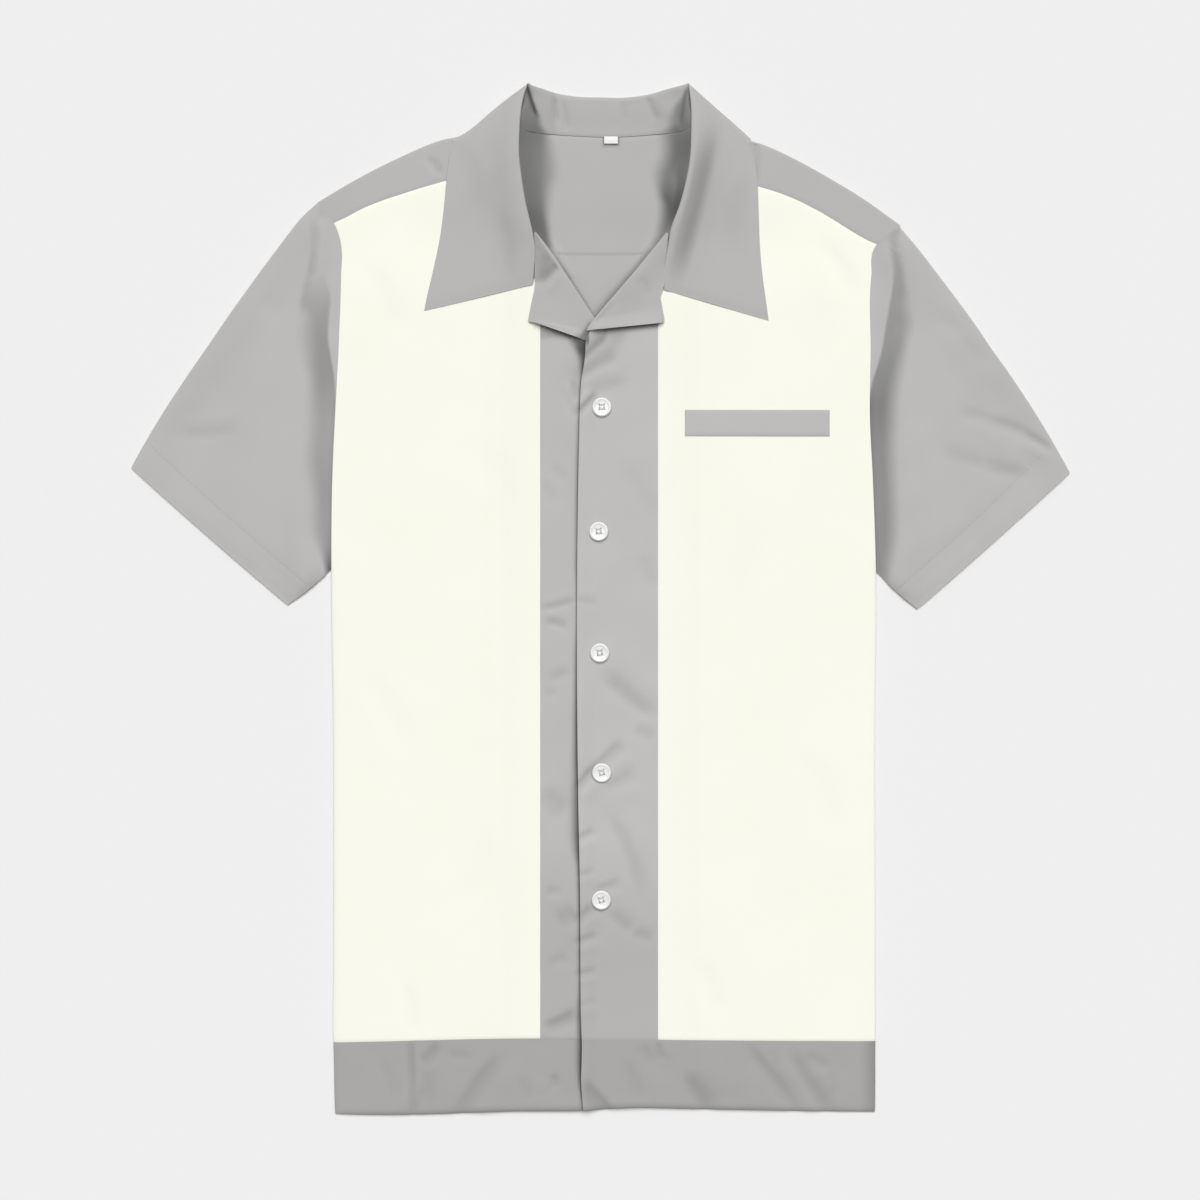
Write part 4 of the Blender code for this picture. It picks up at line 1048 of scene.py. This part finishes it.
def makeStitches(name, front, fromCuff):
    line = np.array([[np.interp(-sleeve["hem"], -fromCuff[row], front[row, :, axis]) for axis in range(3)]
                     for row in range(len(front))])
    run = runOf(stepsOf(line))
    stitches = bmesh.new()
    half = stitch["length"] / 2
    size = Matrix.Diagonal((half * mm, stitch["thick"] * mm, stitch["thick"] * mm, 1))
    for middle in np.arange(stitch["fromEnds"], run[-1] - stitch["fromEnds"], stitch["pitch"]):
        low, at, high = [Vector([np.interp(middle + step, run, line[:, axis]) for axis in range(3)])
                         for step in (-half, 0, half)]
        turn = (high - low).to_track_quat("X", "Z").to_matrix().to_4x4()
        raised = at + Vector((0, 0, garment["wall"] / 2 + stitch["lift"]))
        bmesh.ops.create_uvsphere(stitches, u_segments=8, v_segments=5, radius=1,
                                  matrix=Matrix.Translation(raised * mm) @ turn @ size)
    enlist(meshObject(name, stitches, cloths["seamThread"], smooth=True))


# Collar: one piece from gorge to gorge. Rows hold the face, then the points of the neck seam, the turned edge
# and the outer edge, then how high the turned edge stands. A face of 1 lies on the front, one of -1 beneath
# the yoke.
collar = dict(
    right=[
        (1, -50, 245, -52.9, 245, -137.5, 224.4, 6),
        (1, -49, 257, -51.9, 257, -135, 236.5, 8),
        (1, -48.2, 273, -51, 273, -131.6, 251, 11),
        (1, -58.5, 288, -53.6, 287.2, -128.6, 264.5, 14),
        (1, -66.5, 307, -58.6, 308.5, -124.8, 284, 16.5),
        (1, -71.6, 322.5, -61.7, 328.2, -122, 305, 18),
        (1, -73.9, 337.5, -63.5, 345, -120.2, 324, 18.5),
        (1, -71.3, 352, -63.3, 361, -118.4, 340, 17.8),
        (1, -69, 361, -61.8, 381, -116.4, 350.5, 15.6),
        (1, -67.8, 365.4, -58, 397.6, -114.9, 356.4, 12),
        (0, -67.4, 367.2, -56.5, 401.2, -115.6, 358.8, 9.6),
        (-1, -66, 366.8, -54.2, 400.3, -113.4, 356.8, 8),
        (-1, -57, 364.4, -46.5, 398.1, -104, 342, 4.8),
        (-1, -45.7, 363.4, -37.1, 394.9, -84, 329, 4.2),
        (-1, -24, 361.7, -21, 391.8, -45, 321.5, 4),
    ],
    middle=(-1, 1.3, 360.6, 0, 390.9, 0, 319.5, 4),
    left=[
        (1, 46.5, 241, 49.4, 241, 131, 217, 6.2),
        (1, 46.5, 258, 49.4, 258, 128.8, 233, 8.6),
        (1, 49.2, 273, 52.2, 273, 126.6, 249, 11.4),
        (1, 61.5, 286, 54.8, 286.7, 125.2, 262, 14),
        (1, 71, 303.5, 61.8, 306, 123.9, 281, 16.5),
        (1, 77.2, 319.5, 67.1, 326.5, 123.2, 303, 18),
        (1, 80.4, 333.8, 69.8, 343, 122.5, 322, 18.5),
        (1, 78.5, 350, 70.6, 361, 120.8, 338, 17.8),
        (1, 76.2, 361, 70.7, 381, 118.4, 348.5, 15.6),
        (1, 74.8, 365.5, 69.2, 397.2, 116.4, 354.6, 12),
        (0, 74.6, 367.4, 68.7, 401.3, 117.2, 358, 8),
        (-1, 73, 366.8, 65.4, 400.5, 114.6, 355, 8),
        (-1, 63.5, 364.4, 53, 397.6, 105, 341, 4.8),
        (-1, 51.9, 363.4, 39.4, 393.6, 84, 328.6, 4.2),
        (-1, 24.5, 361.2, 22, 391, 45, 321.5, 4),
    ],
    hollow=dict(right=31.0, left=-4.0),  # how far the outline near a top corner falls inside a straight line
    wall=0.9,
    edgeDown=0.6,  # how much closer the outer edge lies to the front
    # beside the shoulder fold: the share of its height that it drops to, and how high its edges are
    shoulderEnd=dict(drop=0.55, edge=3.0, neck=3.2),
    overBack=1.8,  # how far its neck edge stays above the back
    # painted shade inside the neck: at either side, along the seam, in the gap at the right end, and the most
    # in all
    standShade=dict(right=0.10, left=0.06, seam=0.12, gap=0.34, most=0.85),
)
leafCreases = [
    (89.5, 364, 59.5, 244, 1, -2.6, 6, 12, 0.8),
    (-78, 304, -70, 244, 2, -0.6, 9, 8, 0.9),
    (-104, 352, -96, 300, 2, -0.4, 6, 8, 1.4),
    (112, 330, 104, 270, -2, -0.4, 8, 6, 1.4),
]
standCreases = [
    (-58.6, 404, -50, 377, 0, -0.6, 2, 2, 1),
    (-36, 392, -33.5, 370, 0, -0.9, 1.6, 2.6, 1.3),
    (-29, 388, -26, 366, 0.6, -0.5, 1.6, 2.6, 1.4),
    (36, 394, 45, 372, -0.8, -0.8, 3, 2, 1.3),
    (17, 388, 19, 372, 0.4, -0.3, 2.4, 3, 1.2),
    (67, 403, 61.5, 366, 0, -0.9, 1.6, 1.4, 1.2),
]


def turnedEdge(start, rollPoint, end):  # a round turn over the roll line, from one height to the other
    reach = min(max(abs(end[2] - start[2]) / 2, 0.6), roll["turn"])
    back, out = start[:2] - rollPoint, end[:2] - rollPoint
    back, out = back / np.linalg.norm(back), out / np.linalg.norm(out)
    first, last = np.append(rollPoint + back * reach, start[2]), np.append(rollPoint + out * reach, end[2])
    pull = reach * 4 / 3
    firstHandle, lastHandle = first - np.append(back, 0) * pull, last - np.append(out, 0) * pull
    t = np.linspace(0, 1, 7)[:, None]
    start = first * (1 - t) ** 3 + firstHandle * 3 * t * (1 - t) ** 2
    return start + lastHandle * 3 * t * t * (1 - t) + last * t**3


def collarSection(row, side):
    face, neckX, neckY, rollX, rollY, edgeX, edgeY, stands = row
    rollPoint, edge, neck = np.array([rollX, rollY]), np.array([edgeX, edgeY]), np.array([neckX, neckY])
    out = 0.035 + 0.965 * np.linspace(0, 1, 15) ** 1.3
    fall = rollPoint + (edge - rollPoint) * out[:, None]
    along = (edge - rollPoint) / np.linalg.norm(edge - rollPoint)
    inward = np.array([along[1], -along[0]]) * np.sign(along[0])
    fall += inward * (collar["hollow"][side] * smoothStep((rollY - 385) / 14) * out**4 * (1 - out))[:, None]
    x, y = fall.T
    if face == 1:  # down over the front, with the outer edge a little closer to it
        resting = panelHeight[side](x, y) + garment["layer"] + garment["slack"] - collar["edgeDown"] * out**4
        z = resting + (stands - resting[0]) * hump(np.linalg.norm(fall - rollPoint, axis=1), roll["reach"])
        standTop = z[0] - 2 * roll["turn"]
        neckZ = min(float(frontHeight(*neck)), standTop)
    elif face == 0:  # beside the end of the shoulder fold
        end = collar["shoulderEnd"]
        z = np.linspace(stands * end["drop"], end["edge"], len(x))
        standTop, neckZ = stands, end["neck"]
    else:  # beneath the yoke, on the floor
        z = np.full(len(x), garment["wall"] / 2)
        standTop, neckZ = stands, collar["overBack"] + float(climbHeight(*neck))
    fall = np.column_stack([x, y, z])
    turn = turnedEdge(np.array([neckX, neckY, standTop]), rollPoint, fall[0])
    stand = [[*(neck + (turn[0, :2] - neck) * share), neckZ + (standTop - neckZ) * smoothStep(share * 1.1)]
             for share in np.linspace(0, 1, 6)[:-1]]
    return np.concatenate([np.array(stand), turn, fall[1:]])


# How far along each point of the sections lies, and the same with more points between, as many as counts say
def finer(sections, counts):
    profile = runOf(stepsOf(sections, 1).mean(axis=0))
    fine = [np.linspace(profile[i], profile[i + 1], n, endpoint=False) for i, n in enumerate(counts)]
    return profile, np.concatenate(fine + [profile[-1:]])


def makeCollar():
    rows = [(row, "right") for row in collar["right"]] + [(collar["middle"], "right")]
    rows += [(row, "left") for row in reversed(collar["left"])]
    sections = np.array([collarSection(row, side) for row, side in rows])
    marks = runOf(np.maximum(stepsOf(sections[:, 8, :2]), 4.0))  # along the turned edge
    along = np.linspace(0, marks[-1], 400)
    across = through(marks, sections)(along)
    across[..., 2] = through(marks, sections[..., 2], calm=True)(along)
    profile, fine = finer(sections, [5] * 5 + [2] * 6 + [3] * 14)
    x, y, z = np.moveaxis(through(profile, across.transpose(1, 0, 2))(fine), -1, 0)
    front = through(marks, [float(row[0]) for row, side in rows])(along)[None, :]
    fromNeck = (fine - profile[0])[:, None]
    behind = front < 0.9
    onLeaf = smoothStep((fine - profile[11]) / 6)[:, None] * smoothStep((front - 0.2) / 0.8)
    onStand = smoothStep((profile[6] - fine) / 3)[:, None] * smoothStep(fromNeck / 4) * behind
    folds = relief(x, y, leafCreases) * onLeaf + relief(x, y, standCreases) * onStand
    ends = np.minimum(along, marks[-1] - along)[None, :]
    z = z + folds + ripple(x, y, "collar", 31) * onLeaf - 0.6 * hump(ends, 5) * onLeaf
    z -= 0.15 * hump(fromNeck, 1.0) * behind
    inNeck = smoothStep((profile[8] - fine) / 2)[:, None] * behind
    dark = collar["standShade"]
    # painted shade on the stand inside the neck
    standPaintedShade = dark["right"] * smoothStep((-33 - x) / 4) + dark["left"] * smoothStep((x - 38) / 8)
    standPaintedShade = standPaintedShade + dark["seam"] * hump(fromNeck, 1.0)
    gap = hump(x - np.interp(y, (377, 404), (-50.0, -58.6)), 1.7) * smoothStep((y - 373) / 8)
    standPaintedShade = np.minimum(np.maximum(neckShade(x, y), standPaintedShade) + dark["gap"] * gap, dark["most"])
    shade = creaseShade(folds) + standPaintedShade * inNeck
    piece = makeCloth("collarPiece", "collar", stack(x, y, z, shade), "collarGreyShaded", wall=collar["wall"])


makeCollar()
print("collar made")


# Lapels: rows down from the gorge hold the turned edge, then the outer edge. The last is the lower edge.
lapel = dict(
    right=[(-50.6, 285, -51.8, 284.2), (-44.5, 277.5, -50.6, 273), (-36.4, 267, -51, 262),
           (-26.2, 251.5, -51.4, 251.6), (-15.5, 235, -51, 243.7), (-4.3, 218, -54, 229),
           (3, 207, -56.2, 216.8), (2, 196.6, -54.5, 216.2)],
    left=[(51.2, 284.4, 52.6, 283.6), (45, 276.6, 51.6, 273), (37, 267, 49.8, 262), (25.5, 253, 49.9, 252),
          (15.5, 241.2, 49.4, 244), (9.3, 234, 47, 237), (-4.3, 217.8, 48, 227), (-9.6, 210.8, 49, 215.2),
          (-10.6, 208.4, 47.2, 214.8)],
    lowerLift=dict(right=4.2, left=3.4),  # how far the lower edge stands up
    lowerCorner=dict(right=(56, 9), left=(49.5, 4)),  # where its outer end is let down again
    # painted shade at the top of the right lapel, and beside the edge of the left one where it crosses it
    topShade=0.16,
    otherEdge=(-0.4, 224.8, 0.823, 0.568),  # a point where the left one crosses the right, and along its edge
    otherShade=0.5,
)
lapelCreases = [
    (-32, 262, -49.5, 245, 0.8, -1.2, 3.6, 3.4, 1.3),
    (-41, 268, -46.5, 250, 0.6, -0.8, 3, 4, 1.3),
    (30, 250, 40, 236, 0.8, -0.3, 3, 4, 1.3),
]


def lapelSection(rollX, rollY, edgeX, edgeY, side):
    rollPoint, edge = np.array([rollX, rollY]), np.array([edgeX, edgeY])
    width = np.linalg.norm(edge - rollPoint)
    out = (edge - rollPoint) / width
    inset = min(roll["turn"] * 1.2 / width, 0.5)
    fall = rollPoint + (edge - rollPoint) * (inset + (1 - inset) * np.linspace(0, 1, 12) ** 1.2)[:, None]
    z = turnedHeight(*fall.T, side)
    panelZ, turnZ = float(panelHeight[side](rollX, rollY)), z[0] - 2 * roll["turn"]
    turn = turnedEdge(np.append(edge, max(turnZ, panelZ)), rollPoint, np.append(fall[0], z[0]))
    base = np.append(rollPoint + out * min(3.0, width / 2), min(panelZ, turnZ))
    rising = base + (turn[0] - base) * (np.array([0, 1, 2]) / 3)[:, None]
    return np.concatenate([rising, turn, np.column_stack([fall, z])[1:]])


def makeLapel(name, node, side):
    sections = np.array([lapelSection(*row, side) for row in lapel[side]])
    marks = runOf(np.maximum(stepsOf(sections[:, 6, :2]), 1.0))
    down = np.concatenate([np.linspace(0, marks[-1] - 3, 60), marks[-1] - np.array([2, 1.2, 0.5, 0])])
    lengthwise = through(marks, sections)(down)
    profile, fine = finer(sections, [2] * 3 + [1] * 6 + [4] * 11)
    x, y, z = np.moveaxis(through(profile, lengthwise.transpose(1, 0, 2))(fine), -1, 0)
    onTop = smoothStep((fine - profile[9]) / 5)[:, None]
    toEdge = smoothStep((down - marks[-1] + 12) / 12)[None, :]
    folds = relief(x, y, lapelCreases) * onTop
    free, shade = 1.0, creaseShade(folds)  # how freely the lower edge stands up
    if side == "right":
        free = smoothStep((lapEdge(y) - 3 - x) / 7)  # its corner stays under the lap
        # painted shade at its top and beside the crossing edge of the left lapel
        shade = shade + lapel["topShade"] * smoothStep((y - np.maximum(x + 288.5, 245)) / 5) * onTop
        otherX, otherY, alongY, alongX = lapel["otherEdge"]
        fromOther = np.maximum((y - otherY) * alongX - (x - otherX) * alongY, 0)
        shade = shade + lapel["otherShade"] * hump(fromOther, 1.9) * smoothStep((228 - y) / 6) * onTop
    cornerX, fade = lapel["lowerCorner"][side]
    free = free * (0.2 + 0.8 * smoothStep((cornerX - np.abs(x)) / fade))
    z = z + (folds + ripple(x, y, "lapel", 41) * onTop + lapel["lowerLift"][side] * toEdge * onTop * free)
    piece = makeCloth(name, node, stack(x, y, z, shade), "collarGreyShaded", wall=collar["wall"])


makeLapel("lapelRight", "lapel_right", "right")
makeLapel("lapelLeft", "lapel_left", "left")
print("lapels made")


# Pocket welt and neck label: small flat pieces between two corners, with their edges drawn down
patchEdge = dict(down=0.35, within=0.7)
labelLift = 2.2


def makePatch(name, node, low, high, height, columns, rows, finish, wall):
    width, length = high[0] - low[0], high[1] - low[1]
    across, up = np.meshgrid(shares(columns, width, (0.4, 0.9, 1.8)), shares(rows, length, (0.4, 0.9)))
    x, y = low[0] + width * across, low[1] + length * up
    edge = np.minimum(np.minimum(across, 1 - across) * width, np.minimum(up, 1 - up) * length)
    z = height(x, y) - patchEdge["down"] * hump(edge, patchEdge["within"])
    return makeCloth(name, node, stack(x, y, z), finish, wall)


welt = dict(low=(65.8, 127), high=(178.6, 147.4), lift=0.95)


def weltHeight(x, y):
    return frontHeight(x, y) + welt["lift"] + ripple(x, y, "welt", 51)


def labelHeight(x, y):
    return backHeight(x, y) + climbHeight(x, y) + labelLift


pocketWelt = makePatch("pocketWelt", "pocket_welt", welt["low"], welt["high"], weltHeight, 60, 12,
                       "weltGreyLit", 0.9)
labelLow, labelHigh = [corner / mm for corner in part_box("neck_label")]
neckLabel = makePatch("neckLabel", "neck_label", labelLow, labelHigh, labelHeight, 12, 8,
                      "label", 0.5)
print("welt and label made")


# Buttons: turned with a raised rim, four holes and thread round them
button = dict(
    radius=7.5,
    height=2.4,
    # shares of the radius and the height
    profile=[(0, 0.82), (0.62, 0.82), (0.71, 0.85), (0.79, 0.96), (0.86, 1), (0.94, 0.92), (0.99, 0.70),
             (1, 0.48), (0.97, 0.24), (0.86, 0), (0, 0)],
    lift=0.75,
    hole=0.45,
    spacing=1.7,
    turn=0.05,  # each is sewn on turned a little further than the one before
    strand=0.3,
    strandGap=0.28,
    strandHeight=0.72,
    strandBow=0.35,
    strandPlunge=2.5,  # how steeply its ends go down into the holes
    looks={"Roughness": 0.28, "Coat Weight": 0.3, "Coat Roughness": 0.15},
    clouds=((0.35, (0.77, 0.77, 0.75, 1)), (0.65, (0.82, 0.82, 0.81, 1))),
    cloudScale=260.0,
)


def buttonMaterial():
    material, tree, shader = newMaterial("buttonWhite", button["looks"])
    place, cloud = tree.nodes.new("ShaderNodeTexCoord"), tree.nodes.new("ShaderNodeTexNoise")
    ramp = tree.nodes.new("ShaderNodeValToRGB")
    for element, (position, level) in zip(ramp.color_ramp.elements, button["clouds"]):
        element.position, element.color = position, level
    feed(tree, (button["cloudScale"], cloud.inputs["Scale"]), (4.0, cloud.inputs["Detail"]),
         (place.outputs["Object"], cloud.inputs["Vector"]), (cloud.outputs["Fac"], ramp.inputs["Fac"]),
         (ramp.outputs["Color"], shader.inputs["Base Color"]))
    return material


buttonWhite = buttonMaterial()


def turnDisc(seat):  # a bmesh of the disc without its holes
    disc = bmesh.new()
    radius, height = button["radius"] * mm, button["height"] * mm
    points = [disc.verts.new((out * radius, 0, up * height)) for out, up in button["profile"]]
    edges = [disc.edges.new(pair) for pair in zip(points, points[1:])]
    bmesh.ops.spin(disc, geom=points + edges, cent=(0, 0, 0), axis=(0, 0, 1), angle=math.tau, steps=48,
                   use_merge=True)
    bmesh.ops.remove_doubles(disc, verts=disc.verts, dist=0.01 * mm)
    bmesh.ops.recalc_face_normals(disc, faces=disc.faces)
    bmesh.ops.translate(disc, verts=disc.verts, vec=seat * mm)
    return disc


def drillHoles(piece, holes):
    drill = bmesh.new()
    radius = button["hole"] * mm
    for hole in holes:
        bmesh.ops.create_cone(drill, segments=16, radius1=radius, radius2=radius, cap_ends=True,
                              depth=button["height"] * 4 * mm, matrix=Matrix.Translation(hole * mm))
    cutter = meshObject("drill", drill)
    cut = piece.modifiers.new("holes", "BOOLEAN")
    cut.operation, cut.solver, cut.object = "DIFFERENCE", "EXACT", cutter
    bpy.context.view_layer.update()
    cutMesh = bpy.data.meshes.new_from_object(piece.evaluated_get(bpy.context.evaluated_depsgraph_get()))
    piece.modifiers.remove(cut)
    piece.data = cutMesh
    drillMesh = cutter.data
    bpy.data.objects.remove(cutter)
    bpy.data.meshes.remove(drillMesh)


# Two strands of thread along each side of the square of holes
def threadHoles(holes):
    strands = bmesh.new()
    for first, second in zip(holes, holes[1:] + holes[:1]):
        away, length = (second - first).normalized(), (second - first).length * mm
        turn = away.to_track_quat("Z", "Y").to_matrix().to_4x4()
        side = Vector((-away.y, away.x, 0)) * button["strandGap"]
        for offset in (side, -side):
            middle = (first + second) / 2 + Vector((0, 0, button["height"] * button["strandHeight"])) + offset
            made = bmesh.ops.create_cone(strands, segments=8, radius1=button["strand"] * mm,
                                         radius2=button["strand"] * mm, depth=length, cap_ends=True)["verts"]
            lengthwise = [edge for edge in {edge for vertex in made for edge in vertex.link_edges}
                          if abs((edge.verts[0].co - edge.verts[1].co).z) > 0.1 * mm]
            bmesh.ops.subdivide_edges(strands, cuts=3, edges=lengthwise)
            # only the new strand is still at the origin; it bends down into the holes
            for vertex in [vertex for vertex in strands.verts if vertex.co.length < 3 * mm]:
                along = vertex.co.z / (length / 2)
                plunge = button["strandPlunge"] * max(abs(along) - 0.8, 0)
                bend = button["strandBow"] * (1 - along * along) - plunge
                vertex.co = turn @ vertex.co + Vector((0, 0, bend * mm)) + middle * mm
    return strands


def makeButton(number):
    low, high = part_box(f"button_{number}")
    centre = (low + high) / 2
    x, y = centre.x / mm, centre.y / mm
    fold = float(relief(np.array([x]), np.array([y]), frontCreases)[0])
    seat = Vector((x, y, float(lapHeight(x, y)) + fold + button["lift"]))
    angles = [math.pi / 4 + corner * math.pi / 2 + button["turn"] * number for corner in range(4)]
    reach = button["spacing"] * math.sqrt(2)
    holes = [seat + Vector((math.cos(angle), math.sin(angle), 0)) * reach for angle in angles]
    disc = meshObject(f"button{number}", turnDisc(seat), buttonWhite, smooth=True)
    enlist(disc, f"button_{number}")
    drillHoles(disc, holes)
    strands = meshObject(f"buttonThread{number}", threadHoles(holes), cloths["thread"], smooth=True)
    enlist(strands)


makeStitches("stitchesRight", *rightSleeve)
makeStitches("stitchesLeft", *leftSleeve)
for number in range(1, 6):
    makeButton(number)
print("stitches and buttons made")


# Stage: a pale floor, a broad soft light overhead and a camera straight above
stage = dict(
    floor=(0.835, 0.835, 0.835),
    floorSize=6.0,
    lensMillimetres=85.0,
    sensorMillimetres=36.0,
    viewWidth=0.9375,  # metres of floor across the frame
    aim=(-0.0004, -0.0008),
    skyStrength=0.265,
    sunStrength=2.67,
    sunPlace=(0, 0.6, 2),
    sunSpread=50.0,  # degrees
    sunTilt=(25.0, -2.0),  # degrees toward the collar, and toward the wearer's left
)


def makeFloor():
    ground = bmesh.new()
    bmesh.ops.create_grid(ground, x_segments=4, y_segments=4, size=stage["floorSize"] / 2)
    looks = {"Base Color": (*stage["floor"], 1), "Roughness": 0.95, "Specular IOR Level": 0.05}
    floor = meshObject("floor", ground, newMaterial("floorPaper", looks)[0])


def makeLight():
    world = bpy.data.worlds.new("softStudio")
    bpy.context.scene.world = world
    world.use_nodes = True
    sky = world.node_tree.nodes.get("Background") or world.node_tree.nodes.new("ShaderNodeBackground")
    sky.inputs["Color"].default_value = (1, 1, 1, 1)
    sky.inputs["Strength"].default_value = stage["skyStrength"]
    lamp = bpy.data.lights.new("overheadLight", "SUN")
    lamp.energy, lamp.angle = stage["sunStrength"], math.radians(stage["sunSpread"])
    light = addObject("overheadLight", lamp)
    light.location = stage["sunPlace"]
    light.rotation_euler = [math.radians(-turn) for turn in stage["sunTilt"]] + [0]


def makeCamera():
    lens = bpy.data.cameras.new("camera")
    lens.lens, lens.sensor_width = stage["lensMillimetres"], stage["sensorMillimetres"]
    lens.clip_start, lens.clip_end = 0.05, 20.0
    camera = addObject("camera", lens)
    camera.location = (*stage["aim"], stage["viewWidth"] * lens.lens / lens.sensor_width)
    bpy.context.scene.camera = camera
    bpy.context.scene.view_settings.view_transform = "Standard"


makeFloor()
makeLight()
makeCamera()
print("stage made")
